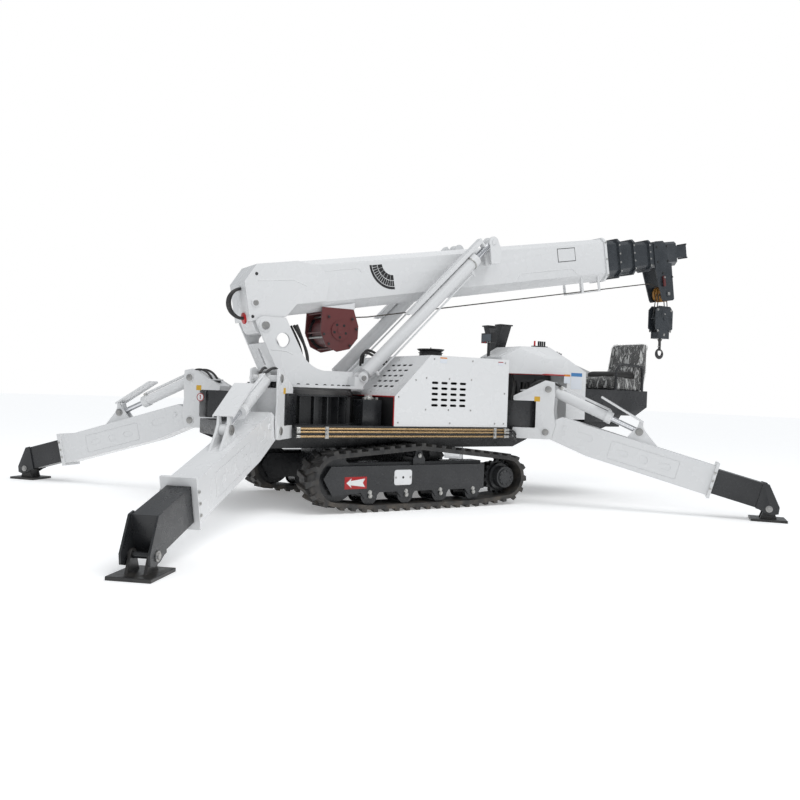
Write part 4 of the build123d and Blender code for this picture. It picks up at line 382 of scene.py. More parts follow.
# Hydraulic pipes: yellow-passivated steel tubes along both sides of the deck, in zinc-plated clamps.
# Their rear ends run into crimped hose fittings that turn in under the deck.
BRASS = (0.40, 0.27, 0.13, 1)
passivated = coat("passivated_pipe", BRASS, (0.52, 0.36, 0.20, 1), 0.26, patches=30, metal=0.75)
CLAMPS, CLAMP_HALF, CLAMP_BOLTS = (-1.6218, 0.1452), 0.018, (0.701, 0.668)


def clamp_or_pipe(centre, normal):
    return 1 if min(abs(centre.x - x) for x in CLAMPS) < CLAMP_HALF else 0


skin("chassis_pipes", [passivated, zinc], 0.001, clamp_or_pipe)
PIPE_Y, PIPE_HEIGHTS, PIPE_ENDS = 0.807, (0.714, 0.688, 0.650), (-1.882, 0.262)
FITTING_LENGTH = 0.056
for side, (sign, out) in zip(("left", "right"), SIDES):
    ends = Kit()
    for z in PIPE_HEIGHTS:
        front, rear = (Vector((x, sign * PIPE_Y, z)) for x in PIPE_ENDS)
        ends.turned([(0.0, -0.006), (0.015, -0.006), (0.015, 0.016), (0.012, 0.018), (0.012, 0.055),
                     (0.009, 0.058), (0.0, 0.058)], facing(rear, (1, 0, 0)), 20)
        ends.plug(facing(front, (-1, 0, 0)), 0.014, 0.012, 20, base=-0.02)
        start = rear + Vector((FITTING_LENGTH, 0, 0))
        ends.bar(curve(8, lambda t: start + Vector((0.13 * t, -sign * 0.05 * t ** 2.2, -0.05 * t ** 2))),
                 0.010, 10, 1)
    ends.done(f"pipe_ends_{side}", [zinc, rubber], "carrier", "brass_pipe")
    bands = [((x, sign * (PIPE_Y + 0.017), z), out) for x in CLAMPS for z in CLAMP_BOLTS]
    bolts(f"clamp_bolts_{side}", bands, zinc, "carrier", BOLT_7)

# Engine hood: folded white sheet with punched slots, screwed along its edges, over the engine.
# A red rubber edging runs round the front panel, and the air intake's rubber-black cap sits on top.
# A near-black material painted where there is only shade: on the engine hood's inner faces and open front panel,
# and in the holes of the winch plates.
painted_shade_black = coat("painted_shade_black", (0.008, 0.008, 0.009, 1), (0.014, 0.014, 0.015, 1), 0.6)
black_plastic = coat("black_plastic", (0.013, 0.013, 0.014, 1), (0.022, 0.022, 0.023, 1), 0.38, grain=600)
cast_block = coat("cast_block", (0.03, 0.03, 0.032, 1), (0.05, 0.05, 0.052, 1), 0.6, grain=160, bump=0.2)
orange_label = coat("orange_label", (0.75, 0.26, 0.02, 1), (0.70, 0.24, 0.02, 1), 0.4)
blue_label = coat("blue_label", (0.05, 0.20, 0.45, 1), (0.06, 0.22, 0.47, 1), 0.4)
white_label = coat("white_label", (0.72, 0.75, 0.80, 1), (0.70, 0.73, 0.78, 1), 0.4)
hood_low, hood_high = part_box("engine_hood")
hood_middle = (hood_low + hood_high) / 2
NOSE_Z, HOOD_SLANT = 1.000, 0.370
hood_rise = hood_high.z - NOSE_Z


# The hood's inner faces and its open front panel take the near-black material: painted shade inside the hood.
def hood_shade_faces(centre, normal):
    front_panel = normal.x < -0.9 and centre.z < NOSE_Z
    return 1 if front_panel or normal.dot(centre - hood_middle) < -0.02 else 0


skin("engine_hood", [white_paint, painted_shade_black], 0.003, hood_shade_faces)
skin("engine_block", [cast_block], 0.006)
skin("intake_cap", [black_plastic], 0.002)
trim = Kit()
front, half, foot = hood_low.x - 0.003, hood_high.y - 0.004, hood_low.z + 0.008
trim.bar([(front, -half, foot), (front, -half, NOSE_Z), (front, half, NOSE_Z), (front, half, foot)], 0.0065)
trim.done("hood_edging", [red_paint], "carrier")
VENTS, VENT_PANEL = (-0.3838, 1.035), (0.250, 0.143)
EDGE_SCREWS = [(-0.92, 0.772), (-0.365, 0.772), (0.155, 0.772), (0.262, 0.772), (-0.555, 1.352),
               (-0.125, 1.352), (0.262, 1.352), (-0.92, 1.0), (-0.745, 1.155), (0.262, 1.06)]
vent_screws = [(VENTS[0] + dx * VENT_PANEL[0], VENTS[1] + dz * VENT_PANEL[1])
               for dx in (-1, 0, 1) for dz in (-1, 1)]
screws = [((x, sign * hood_high.y, z), out) for sign, out in SIDES for x, z in vent_screws + EDGE_SCREWS]
slant = Vector((-hood_rise, 0, HOOD_SLANT)).normalized()
for share in (0.10, 0.90):
    for y in (-0.30, -0.10, 0.10, 0.30):
        screws.append((Vector((hood_low.x + HOOD_SLANT * share, y, NOSE_Z + hood_rise * share)), slant))
bolts("hood_screws", screws, zinc, "carrier", BOLT_6)


def label(kit, place, width, height, bar_index, field_index):
    """A blank sticker: a coloured bar over a plain field."""
    for bottom, thick, index in ((-height / 2, 0.0008, field_index), (height * 0.28, 0.0012, bar_index)):
        kit.slab([(-width / 2, bottom), (width / 2, bottom), (width / 2, height / 2),
                  (-width / 2, height / 2)], thick, place, index)


stickers = Kit()
for sign, out in SIDES:
    label(stickers, facing((-0.455, sign * hood_high.y, 1.345), out), 0.075, 0.052, 0, 1)
    label(stickers, facing((0.205, sign * hood_high.y, 1.345), out), 0.060, 0.034, 2, 1)
stickers.done("hood_labels", [orange_label, white_label, red_paint], "carrier")
cap_low, cap_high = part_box("intake_cap")
cap_middle = (cap_low + cap_high) / 2
cap_place = Matrix.Translation((cap_middle.x, cap_middle.y, cap_high.z))
cap = Kit()
cap.turned([(0.0, 0.0), (0.012, 0.0), (0.012, 0.006), (0.006, 0.010), (0.006, 0.022), (0.0, 0.022)],
           cap_place, 16)
cap.turned([(0.0, -0.099), (0.114, -0.099), (0.112, -0.022), (0.135, -0.006), (0.141, 0.001),
            (0.139, 0.004), (0.127, 0.003), (0.05, 0.007), (0.0, 0.007)], cap_place, 48)
cap.done("intake_lid", [black_plastic], "carrier", "black_plastic")

# Swing drive and deck fittings: a hydraulic motor with its pinion case stands between hood and
# turntable, cast and painted black, with a zinc-plated port block on its top.
DRIVE_X, DRIVE_Y, DRIVE_FOOT, DRIVE_TALL = -1.093, 0.55, 0.739, 0.225
DRIVE = [(-0.10, -0.09), (0.09, -0.09), (0.09, 0.09), (-0.10, 0.09)]
drive = Kit()
for sign, out in SIDES:
    drive.slab(DRIVE, DRIVE_TALL, Matrix.Translation((DRIVE_X, sign * DRIVE_Y, DRIVE_FOOT)))
drive_top = Matrix.Translation((DRIVE_X, -DRIVE_Y, DRIVE_FOOT + DRIVE_TALL))
drive.turned([(0.0, 0.0), (0.055, 0.0), (0.055, 0.018), (0.036, 0.022), (0.036, 0.040), (0.0, 0.040)],
             drive_top, 32, 1)
for dx in (-0.06, 0.06):
    drive.plug(drive_top @ Matrix.Translation((dx, -0.05, 0)), 0.014, 0.022, 6, 1)
drive.done("swing_drive", [black_paint, zinc], "carrier", "black_paint", 0.002)

# Boom rest: a welded plate post with two cradle arms that carry the lowered boom on bare pads.
# It is painted black, and orange and black signal cables run down its rear.
skin("boom_rest", [black_paint])
rest_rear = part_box("boom_rest")[1].x
orange_cable = coat("orange_cable", (0.62, 0.20, 0.03, 1), (0.66, 0.30, 0.05, 1), 0.45)
CABLE_TOP, CABLE_DROP, CABLE_Y = 1.50, 0.46, -0.055
cables = Kit()
for i, (reach, sag, material) in enumerate(((0.010, 0.0, 0), (0.024, 0.02, 1), (0.038, -0.015, 0))):
    cables.bar(curve(24, lambda t: (rest_rear - 0.04 + reach + 0.02 * math.sin(9 * t + i),
                                    CABLE_Y - 0.016 * i + sag * t, CABLE_TOP - CABLE_DROP * t)), 0.0055,
               8, material)
cables.done("rest_cables", [orange_cable, rubber], "carrier")

# Operator's console: a folded white cover on a frame behind the hood, with a red edging below,
# levers with plastic knobs, and a display on an arm. Hoses from its valves hang under it.
skin("control_console", [white_paint], 0.0025)
RED_LEVER_X, LEVERS_BESIDE = 0.8182, -0.5


def control_finish(centre, normal):
    return 1 if abs(centre.x - RED_LEVER_X) < 0.015 and centre.y < LEVERS_BESIDE else 0


red_plastic = coat("red_plastic", (0.55, 0.012, 0.014, 1), (0.5, 0.01, 0.012, 1), 0.3)
skin("controls", [black_plastic, red_plastic], 0.002, control_finish)
skin("valve_bank", [cast_block])
console_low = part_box("control_console")[0]
BASE_Z, BEND_X, EDGING_REAR = 1.266, 0.790, 1.045
edging = Kit()
edging.bar([(console_low.x + 0.008, -0.43, BASE_Z), (BEND_X, console_low.y - 0.001, BASE_Z),
            (EDGING_REAR, console_low.y - 0.001, BASE_Z)], 0.007, 8)
edging.done("console_edging", [red_paint], "carrier")
notices = Kit()
for x, z, width, height, bar in ((1.085, 1.232, 0.085, 0.090, 0), (1.215, 1.215, 0.150, 0.165, 2)):
    label(notices, facing((x, console_low.y - 0.0005, z), (0, -1, 0)), width, height, bar, 1)
notices.done("console_labels", [orange_label, white_label, blue_label], "carrier")
REAR_LEVERS, REAR_LEVER_Y, COVER_Z, COVER_FALL = (1.085, 1.112, 1.139), -0.60, 1.428, 0.30
knobs = Kit()
for x in REAR_LEVERS:
    base, knob, top = (Vector((x, REAR_LEVER_Y, COVER_Z - COVER_FALL * (x - REAR_LEVERS[0]) + rise))
                       for rise in (0, 0.040, 0.085))
    knobs.bar([base, base.lerp(knob, 1.125)], 0.005, 8, 1)
    knobs.bar([knob, top], 0.011, 12)
knobs.done("rear_levers", [black_plastic, zinc], "carrier")
HOSE_TOP, HOSE_FOOT, HOSE_SAG = 1.262, 0.815, 0.055
rng = random.Random(7)
hoses = Kit()
for i in range(11):
    start = Vector((0.60 + 0.045 * i, -0.50 + 0.02 * (i % 3), HOSE_TOP))
    end = Vector((0.50 + 0.04 * i + rng.uniform(-0.02, 0.02), -0.600 + 0.022 * (i % 4), HOSE_FOOT))
    bow = rng.uniform(-0.05, 0.05)

    def hanging(t):
        hump = math.sin(math.pi * t)
        return start.lerp(end, t) + Vector((bow * hump, -HOSE_SAG * hump - 0.01 * math.sin(7 * t + i), 0))

    hoses.bar(curve(16, hanging), 0.011, 8)
    hoses.bar([start + Vector((0, 0, 0.003)), start - Vector((0, 0, 0.035))], 0.014, 8, 1)
hoses.done("console_hoses", [rubber, zinc], "carrier")
screen = coat("screen_glass", (0.10, 0.12, 0.14, 1), (0.14, 0.16, 0.18, 1), 0.12)
SCREEN, SCREEN_SIZE, KEYS = (0.379, -0.330, 1.622), (0.150,
                                                     0.074), ((-0.27, 1), (-0.31, 1), (-0.35, 2),
                                                              (-0.39, 2))
face_plate = Kit()
face_plate.slab(rounded(*SCREEN_SIZE, 0.006), 0.002, facing(SCREEN, (-1, 0, 0)))
for y, material in KEYS:
    face_plate.turned([(0.0, 0.0), (0.008, 0.0), (0.007, 0.006), (0.0, 0.007)],
                      facing((0.381, y, 1.577), (-1, 0, 0)), 16, material)
face_plate.done("display_face", [screen, red_plastic, zinc], "carrier")

# Driver's place: a welded black box with the folding arm rail, a bent white side cover, the
# hydraulic tank and the seat of black leathercloth, still in its clear wrapping.
skin("side_cover", [white_paint], 0.002)
skin("seat_box", [black_paint])
skin("hydraulic_tank", [coat("tank_white", WHITE, WHITE_SHADE, 0.3)], 0.006)
seat_vinyl = coat("seat_vinyl", (0.018, 0.017, 0.017, 1), (0.03, 0.028, 0.027, 1), 0.42, grain=300,
                  bump=0.25)
seat_low, seat_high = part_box("seat")
SEAT_VOXEL, WRAP_VOXEL, FRAMES, MOST_BULGE = 0.011, 0.014, 14, 0.012


def remeshed(piece, voxel, factor, rounds):
    """The piece as an even skin of small faces, smoothed by some rounds."""
    even = piece.modifiers.new("Even", "REMESH")
    even.mode, even.voxel_size = "VOXEL", voxel
    soft = piece.modifiers.new("Soft", "SMOOTH")
    soft.factor, soft.iterations = factor, rounds
    return baked(piece)


def soft_seat(piece, angle):
    """The piece shaded smooth, as a padded part of the seat."""
    smooth(piece.data, angle)
    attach(piece, "carrier")


def cushion(name, low, high, pressure):
    """A padded block that cloth physics blows up a little inside its seams."""
    mesh = bpy.data.meshes.new(name)
    middle, size = (low + high) / 2, high - low
    work = bmesh.new()
    bmesh.ops.create_cube(work, size=1.0)
    for vertex in work.verts:
        vertex.co = vertex.co * size * 0.94
    work.to_mesh(mesh)
    work.free()
    mesh.materials.append(seat_vinyl)
    piece = remeshed(linked(name, mesh), SEAT_VOXEL, 0.7, 6)
    cloth = piece.modifiers.new("Cloth", "CLOTH")
    cloth.settings.use_pressure = True
    cloth.settings.uniform_pressure_force = pressure
    cloth.settings.effector_weights.gravity = 0.0
    cloth.settings.tension_stiffness = cloth.settings.compression_stiffness = 35
    cloth.settings.quality = 6
    cloth.point_cache.frame_start, cloth.point_cache.frame_end = 1, FRAMES
    start = [vertex.co.copy() for vertex in piece.data.vertices]
    for number in range(1, FRAMES + 1):
        bpy.context.scene.frame_set(number)
    baked(piece)
    bpy.context.scene.frame_set(1)
    for vertex, first in zip(piece.data.vertices, start):
        move = vertex.co - first
        if move.length > MOST_BULGE:
            vertex.co = first + move.normalized() * MOST_BULGE
    piece.data.transform(Matrix.Translation(middle))
    fine = piece.modifiers.new("Fine", "SUBSURF")
    fine.levels = fine.render_levels = 1
    soft_seat(baked(piece), 60)


def moulded(name, material, voxel, rounds):
    """The seat's CAD form made soft, in one material."""
    mesh = frame["nodes"]["seat"].data.copy()
    mesh.materials.clear()
    piece = remeshed(linked(name, mesh), voxel, 0.6, rounds)
    piece.data.materials.append(material)
    return piece


seat = moulded("seat_body", seat_vinyl, SEAT_VOXEL, 14)
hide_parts("seat")
soft_seat(seat, 70)
SEAT_MIDDLE = (seat_low.y + seat_high.y) / 2
cushion("seat_cushion", Vector((1.795, SEAT_MIDDLE - 0.215, 1.270)),
        Vector((2.215, SEAT_MIDDLE + 0.215, 1.335)), 3.5)
film = bpy.data.materials.new("clear_film")
film.use_nodes = True
tree = film.node_tree
place = made(tree, "ShaderNodeTexCoord", {}, "Object")
stretch = made(tree, "ShaderNodeMapping", {"Vector": place, "Scale": (1.9, 1.5, 0.45)})
crinkle = made(tree, "ShaderNodeTexNoise", {
    "Vector": stretch, "Scale": 17, "Detail": 4, "Distortion": 1.4}, "Fac")
streaks = made(tree, "ShaderNodeMapRange", {
    "Value": crinkle, "From Min": 0.50, "From Max": 0.66, "To Min": 0.10, "To Max": 0.72})
creases = made(tree, "ShaderNodeBump", {"Height": crinkle, "Strength": 0.9, "Distance": 0.02})
dial(tree.nodes["Principled BSDF"], {
    "Base Color": (0.86, 0.86, 0.84, 1), "Roughness": 0.12, "Alpha": streaks, "Normal": creases})
wrap = moulded("seat_wrap", film, WRAP_VOXEL, 6)
folds = bpy.data.textures.new("wrap_folds", "CLOUDS")
folds.noise_scale = 0.07
push = wrap.modifiers.new("Push", "DISPLACE")
push.texture, push.strength, push.mid_level = folds, 0.020, 0.10
baked(wrap)
for vertex in wrap.data.vertices:
    vertex.co.z = min(vertex.co.z, seat_high.z + 0.012)
smooth(wrap.data, 70)
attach(wrap, "carrier")

# Tower: two thick white plates welded on the turntable that carry the boom's pin and the clevises of
# the luffing cylinders. Its pins are held by keeper plates and washers, and bolts ring the turntable.
skin("tower", [white_paint], 0.004)
PIVOT = Vector(joints["luff"]["pos_m"])
TOWER_FACE, CLEVIS_FACE = 0.225, 0.358
LUFF_FOOT = Vector((-1.04185, 0.300, 1.160))
TURNTABLE = Vector((-1.52185, 0, 1.079))
TOWER_WELD = [(-1.905, 1.378), (-1.762, 1.372), (-1.69, 1.345)]
pin_steel = coat("pin_steel", (0.30, 0.30, 0.30, 1), (0.42, 0.41, 0.39, 1), 0.35, patches=40, metal=0.8)
pins = Kit()
for sign, out in SIDES:
    boom_pin = facing((PIVOT.x, sign * TOWER_FACE, PIVOT.z), out)
    pins.head(boom_pin, 0.058, 0.009, 36, 1, chamfer=0.006)
    pins.head(boom_pin, 0.036, 0.0185, 32, 0, 0.008, 0.003)
    pins.bar([(x, sign * TOWER_FACE, z) for x, z in TOWER_WELD], 0.004, 8, 1)
    luff_pin = facing((LUFF_FOOT.x, sign * CLEVIS_FACE, LUFF_FOOT.z), out)
    pins.head(luff_pin, 0.040, 0.006, 28, 1)
    pins.head(luff_pin, 0.024, 0.016, 28, 0, 0.005, 0.003)
pins.done("tower_pins", [pin_steel, white_paint], "superstructure", "white_paint")
RING_BOLTS, RING_CIRCLE, PLATE_BAND = 36, 0.462, (0.19, 0.26)
ring = []
for i in range(RING_BOLTS):
    spot = TURNTABLE + Vector((*polar(RING_CIRCLE, math.tau * (i + 0.5) / RING_BOLTS), 0))
    if not PLATE_BAND[0] <= abs(spot.y) <= PLATE_BAND[1]:
        ring.append((spot, (0, 0, 1)))
dark_bolt = coat("dark_bolt", (0.05, 0.05, 0.052, 1), (0.08, 0.08, 0.08, 1), 0.4, metal=0.6)
bolts("turntable_bolts", ring, dark_bolt, "superstructure", (0.012, 0.010))
lines = Kit()
for i, (y, bow) in enumerate(((-0.12, 0.06), (-0.07, 0.08), (0.0, 0.05), (0.07, 0.07))):
    path = curve(20, lambda t: Vector((-1.62 + 0.10 * t + bow * math.sin(math.pi * t),
                                       y + 0.02 * math.sin(5 * t + i), 1.62 - 0.50 * t)))
    lines.bar(path, 0.013)
    lines.bar([path[-1], (*path[-1].xy, 1.083)], 0.016, 10, 1)
VALVE = [(-0.09, -0.10), (0.03, -0.10), (0.03, 0.10), (-0.09, 0.10)]
lines.slab(VALVE, 0.11, Matrix.Translation((-1.46, 0.0, 1.083)), 2)
for y in (-0.06, 0.0, 0.06):
    lines.turned([(0.0, 0.0), (0.018, 0.0), (0.018, 0.05), (0.012, 0.055), (0.0, 0.055)],
                 facing((-1.43, y, 1.14), (1, 0, 0.2)), 18, 1)
lines.done("tower_hoses", [rubber, zinc, cast_block], "superstructure")

# Luffing cylinders: two painted barrels with chromed rods, each rod in a folded guard channel.
# Their lower eyes sit in the tower's clevises and their port tubes are zinc-plated.
chrome = coat("chrome", (0.62, 0.63, 0.65, 1), (0.70, 0.70, 0.72, 1), 0.08, patches=30, bump=0.005,
              metal=1.0)
luff_line = Vector((1.455, 0, 1.433)).normalized()
luff_side = Vector((-luff_line.z, 0, luff_line.x))
LUFF_EYE, EYE_REACH, ROD_RADIUS = 2.042, 0.06, 0.034
PORTS, GLAND, GLAND_RADIUS = (0.16, 1.66), (1.70, 1.712), 0.071


def on_luff(along, off, y):
    """A point from its place along the cylinder from its foot and its height over the middle line."""
    spot = LUFF_FOOT + luff_line * along + luff_side * off
    return Vector((spot.x, y, spot.z))


def rod_finish(centre, normal):
    along, off = (centre - LUFF_FOOT).dot(luff_line), (centre - LUFF_FOOT).dot(luff_side)
    return 0 if abs(off) < ROD_RADIUS + 0.003 and along < LUFF_EYE - EYE_REACH else 1


for side, (sign, out) in zip(("left", "right"), SIDES):
    skin(f"luff_barrel_{side}", [white_paint])
    skin(f"luff_rod_{side}", [chrome, white_paint], 0.003, rod_finish)
    middle = sign * LUFF_FOOT.y
    ports = Kit()
    for along in PORTS:
        ports.turned([(0.0, -0.01), (0.021, -0.01), (0.021, 0.030), (0.015, 0.034), (0.015, 0.052),
                      (0.0, 0.052)], facing(on_luff(along, -0.058, middle), -luff_side, (0, 1, 0)), 20)
    ports.bar(curve(12, lambda t: on_luff(PORTS[0] + (PORTS[1] - PORTS[0]) * t, -0.092, middle)), 0.009)
    ports.bar([on_luff(along, 0, middle) for along in GLAND], GLAND_RADIUS, 32, 1)
    ports.done(f"luff_ports_{side}", [white_paint, zinc], "luff_barrels")
hose = Kit()
for shift in (0.0, 0.035):
    def crossing(t):
        hump = math.sin(math.pi * t)
        return on_luff(0.30 + shift + 0.02 * hump, -0.10,
                       -0.24 + 0.48 * t) + Vector((-0.09 * hump, 0, 0.10 * hump))

    hose.bar(curve(20, crossing), 0.013)
hose.done("luff_hose", [rubber], "luff_barrels")

# Boom base: a folded box with chamfered edges, thick cheeks and pin plates at its root, painted white.
# It has a pressed bead on each cheek, a boom angle scale, blank plates and the hose grommet behind.
skin("boom_base", [white_paint], 0.004)
boom_axis = Vector(joints["telescope_2"]["axis"]).normalized()
boom_up = Vector((-boom_axis.z, 0, boom_axis.x))
CHEEK_FACE, BOOM_FACE, ROOT_PIN = 0.190, 0.170, (-0.047, 0.205)


def on_boom(along, height, y):
    """A point from its place along the boom from the pin and its height over the pin."""
    return PIVOT + boom_axis * along + boom_up * height + Vector((0, y, 0))


ink = coat("scale_ink", (0.012, 0.012, 0.013, 1), (0.016, 0.016, 0.017, 1), 0.5)
CHEEK_BEAD = [(0.005, 0.395), (0.34, 0.375), (0.46, 0.310)]
BOOM_BEADS = ([(0.515, 0.432), (1.02, 0.432), (1.05, 0.395)],
              [(2.90, 0.150), (2.99, 0.235), (3.72, 0.235), (3.80, 0.160)])
root = Kit()
for sign, out in SIDES:
    root_pin = facing(on_boom(*ROOT_PIN, sign * CHEEK_FACE), out, boom_up)
    root.head(root_pin, 0.040, 0.008, 30, 1, chamfer=0.004)
    root.head(root_pin, 0.024, 0.017, 28, 0, 0.007, 0.003)
    for face, bead in ((CHEEK_FACE, CHEEK_BEAD), *((BOOM_FACE, bead) for bead in BOOM_BEADS)):
        root.bar([on_boom(a, n, sign * (face - 0.001)) for a, n in bead], 0.0045, 8, 1)
root.done("root_pins", [pin_steel, white_paint], "boom", "white_paint")
black_bolt = coat("black_bolt", (0.02, 0.02, 0.021, 1), (0.03, 0.03, 0.031, 1), 0.4)
ROOT_BOLTS = ((0.0, 0.455), (-0.090, 0.090))
spots = [(on_boom(*place, sign * CHEEK_FACE), out) for place in ROOT_BOLTS for sign, out in SIDES]
bolts("root_bolts", spots, black_bolt, "boom", (0.010, 0.007))
SCALE_CENTRE, SCALE_LIFT, CELL_GAP = (1.395, 0.452), 0.0012, 0.007
SCALE_BANDS = ((0.112, 0.162, 6), (0.168, 0.220, 13), (0.226, 0.250, 1))
scale = Kit()
for sign, out in SIDES:
    for inner, outer, cells in SCALE_BANDS:
        gap, steps = (CELL_GAP * cells, 3) if cells > 1 else (0.0, 12)
        for cell in range(cells):
            start, end = (math.pi + math.pi / 2 * (cell + share) / cells for share in (gap, 1 - gap))
            arc = curve(steps, lambda t: start + (end - start) * t)
            loop = [(inner, turn) for turn in arc] + [(outer, turn) for turn in reversed(arc)]
            points = [on_boom(SCALE_CENTRE[0] + a, SCALE_CENTRE[1] + n, sign * (BOOM_FACE + SCALE_LIFT))
                      for a, n in (polar(*corner) for corner in loop)]
            scale.add(points, [tuple(range(len(points)))])
scale.done("angle_scale", [ink], "boom")
PLATE_AT, PLATE_RIM, PLATE_FIELD = (3.66, 0.392), (0.265, 0.150, 0.004), (0.250, 0.135, 0.003)
plates = Kit()
for sign, out in SIDES:
    place = facing(on_boom(*PLATE_AT, sign * BOOM_FACE), out, boom_up)
    plates.slab(rounded(*PLATE_RIM), 0.0012, place)
    plates.slab(rounded(*PLATE_FIELD), 0.0018, place, 1)
plates.done("boom_plates", [ink, white_paint], "boom")
LOOP_ROOT, LOOP_RISE = (-0.122, 0.215), 0.13
loops = Kit()
for y, reach in ((-0.075, 0.185), (-0.045, 0.145)):
    loops.bar(curve(24, lambda t: on_boom(LOOP_ROOT[0] - reach * 0.75 * math.sin(math.pi * t),
                                          LOOP_ROOT[1] + LOOP_RISE * math.cos(math.pi * t), y)), 0.014, 12)
grommet = facing(on_boom(-0.120, 0.085, -0.060), -boom_axis)
loops.turned([(0.050, -0.002), (0.050, 0.012), (0.034, 0.016), (0.0, 0.016)], grommet, 32, 1)
loops.done("root_hoses", [rubber, red_plastic], "boom")

# Winch: a drum between two maroon cast side plates held apart by tie bars, hung under the boom base.
# The hoist rope fills the drum in even turns and leaves it for the rope hoop at the base's mouth.
maroon_paint = coat("maroon_paint", (0.127, 0.026, 0.026, 1), (0.105, 0.022, 0.023, 1), 0.42, grain=180,
                    bump=0.12)
rope_steel = coat("rope_steel", (0.085, 0.075, 0.065, 1), (0.15, 0.13, 0.11, 1), 0.5, patches=70, grain=900,
                  bump=0.4, metal=0.6)
WINCH = Vector((-1.21185, 0, 1.592))
WINCH_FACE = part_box("winch")[1].y
DRUM_RADIUS, PLATE_INSIDE = 0.120, 0.150


def winch_finish(centre, normal):
    away = math.hypot(centre.x - WINCH.x, centre.z - WINCH.z)
    return 1 if abs(centre.y) < PLATE_INSIDE and away < DRUM_RADIUS + 0.02 else 0


def on_winch(turn, radius, y):
    """A point on a circle about the drum's axis."""
    x, z = polar(radius, turn)
    return WINCH + Vector((x, y, z))


skin("winch", [maroon_paint, black_paint], 0.003, winch_finish)
WRAPS, WRAP_PITCH, ROPE_RISE = 22, 0.0134, 0.0052
profile = [(DRUM_RADIUS + 0.001 + rise, (wrap_number + share) * WRAP_PITCH) for wrap_number in range(WRAPS)
           for share, rise in ((0.1, 0.0), (0.35, ROPE_RISE), (0.65, ROPE_RISE), (0.9, 0.0))]
drum_width = WRAPS * WRAP_PITCH
drum = Kit()
drum.turned([(0.0, 0.0), *profile, (0.0, drum_width)],
            facing(WINCH - Vector((0, drum_width / 2, 0)), (0, 1, 0)), 40)
drum.done("drum_rope", [rope_steel], "boom", angle=50)
HUB_HOLES, HOLE_CIRCLE, FIRST_HOLE = 5, 0.062, 0.9
TIE_BARS, TIE_CIRCLE, TIE_HALF = (-2.75, -1.1, 0.2, 2.2), 0.166, 0.165
RIM_BOLTS, RIM_CIRCLE = (-2.9, -2.3, -0.9, 0.15, 0.75, 2.35), 0.170
hub = Kit()
for sign, out in SIDES:
    face = sign * WINCH_FACE
    hub.head(facing(on_winch(0, 0, face), out), 0.030, 0.006, 24, 0, chamfer=0.006)
    # The hub holes are thin near-black discs: painted shadow in the holes.
    for i in range(HUB_HOLES):
        hub.head(facing(on_winch(math.tau * i / HUB_HOLES + FIRST_HOLE, HOLE_CIRCLE, face), out), 0.013,
                 0.0012, 20, 1)
for turn in TIE_BARS:
    hub.bar([on_winch(turn, TIE_CIRCLE, -TIE_HALF), on_winch(turn, TIE_CIRCLE, TIE_HALF)], 0.010, 14, 2)
hub.done("winch_hub", [maroon_paint, painted_shade_black, pin_steel], "boom", "maroon_paint")
rim = [(on_winch(turn, RIM_CIRCLE, sign * WINCH_FACE), out) for sign, out in SIDES for turn in RIM_BOLTS]
bolts("winch_bolts", rim, black_bolt, "boom", BOLT_9)

# Telescopic sections: four dark slate boxes, each with a collar at its mouth that is screwed on.
# They slide out of the base together, and the hoist rope runs back under them to the winch.
slate_paint = coat("slate_paint", (0.026, 0.031, 0.037, 1), (0.040, 0.046, 0.053, 1), 0.24, patches=9,
                   bump=0.03)
SECTION_ENDS = (4.280, 4.520, 4.780, 5.070)
SECTION_SIZES = ((0.300, 0.415), (0.265, 0.375), (0.230, 0.335))
SECTION_MIDDLE, COLLAR_RIM, COLLAR_HALF = 0.305, 0.020, 0.017
BASE_HEIGHT, BASE_COLLAR_FACE = 0.47, 0.184


def collar_bolts(end, shares, height, face):
    """Places on both cheeks of a collar, at shares of its height about the boom's middle."""
    return [(on_boom(end - COLLAR_HALF, SECTION_MIDDLE + share * height, sign * face), out)
            for sign, out in SIDES for share in shares]


for number, (width, height) in enumerate(SECTION_SIZES):
    skin(f"boom_section_{number + 2}", [slate_paint])
    places = collar_bolts(SECTION_ENDS[number + 1], (-0.36, -0.12, 0.12, 0.36), height,
                          width / 2 + COLLAR_RIM)
    bolts(f"collar_bolts_{number + 2}", places, zinc, f"section_{number + 2}", BOLT_8)
bolts("base_collar_bolts", collar_bolts(SECTION_ENDS[0], (-0.4, 0.0, 0.4), BASE_HEIGHT, BASE_COLLAR_FACE),
      zinc, "boom", BOLT_8)
skin("boom_tip", [slate_paint])
skin("head_sheaves", [coat("ochre_paint", (0.40, 0.19, 0.03, 1), (0.33, 0.155, 0.03, 1), 0.4)], 0.002)
HEAD_PIN, HEAD_FACE, SHEAVE_RADIUS = (5.335, -0.178), 0.108, 0.091
HEAD_BOLTS = ((5.20, 0.40), (5.20, 0.22), (5.38, 0.40), (5.38, 0.22), (5.27, 0.08), (5.43, 0.02))
head = Kit()
for sign, out in SIDES:
    head_pin = facing(on_boom(*HEAD_PIN, sign * HEAD_FACE), out)
    head.head(head_pin, 0.038, 0.006)
    head.head(head_pin, 0.020, 0.013, 24, 1, 0.005)
socket = facing(on_boom(5.26, -0.02, -0.116), (0, -1, 0), boom_up)
head.slab(rounded(0.034, 0.130, 0.012), 0.018, socket, 2)
head.head(socket @ Matrix.Translation((0, 0.045, 0)), 0.012, 0.028, 18, 1, 0.018)
head.done("head_pins", [slate_paint, zinc, maroon_paint], "section_5", "slate_paint")
spots = [(on_boom(*place, sign * (HEAD_FACE + 0.0005)), out) for sign, out in SIDES for place in HEAD_BOLTS]
bolts("head_bolts", spots, black_bolt, "section_5", (0.010, 0.008))
ROPE_HEIGHT, ROPE_RADIUS, TRAVEL = -0.030, 0.006, 3.05
SHEAVE_LEAD, SHEAVE_RISE = (5.12, 0.18), HEAD_PIN[1] + SHEAVE_RADIUS - ROPE_HEIGHT


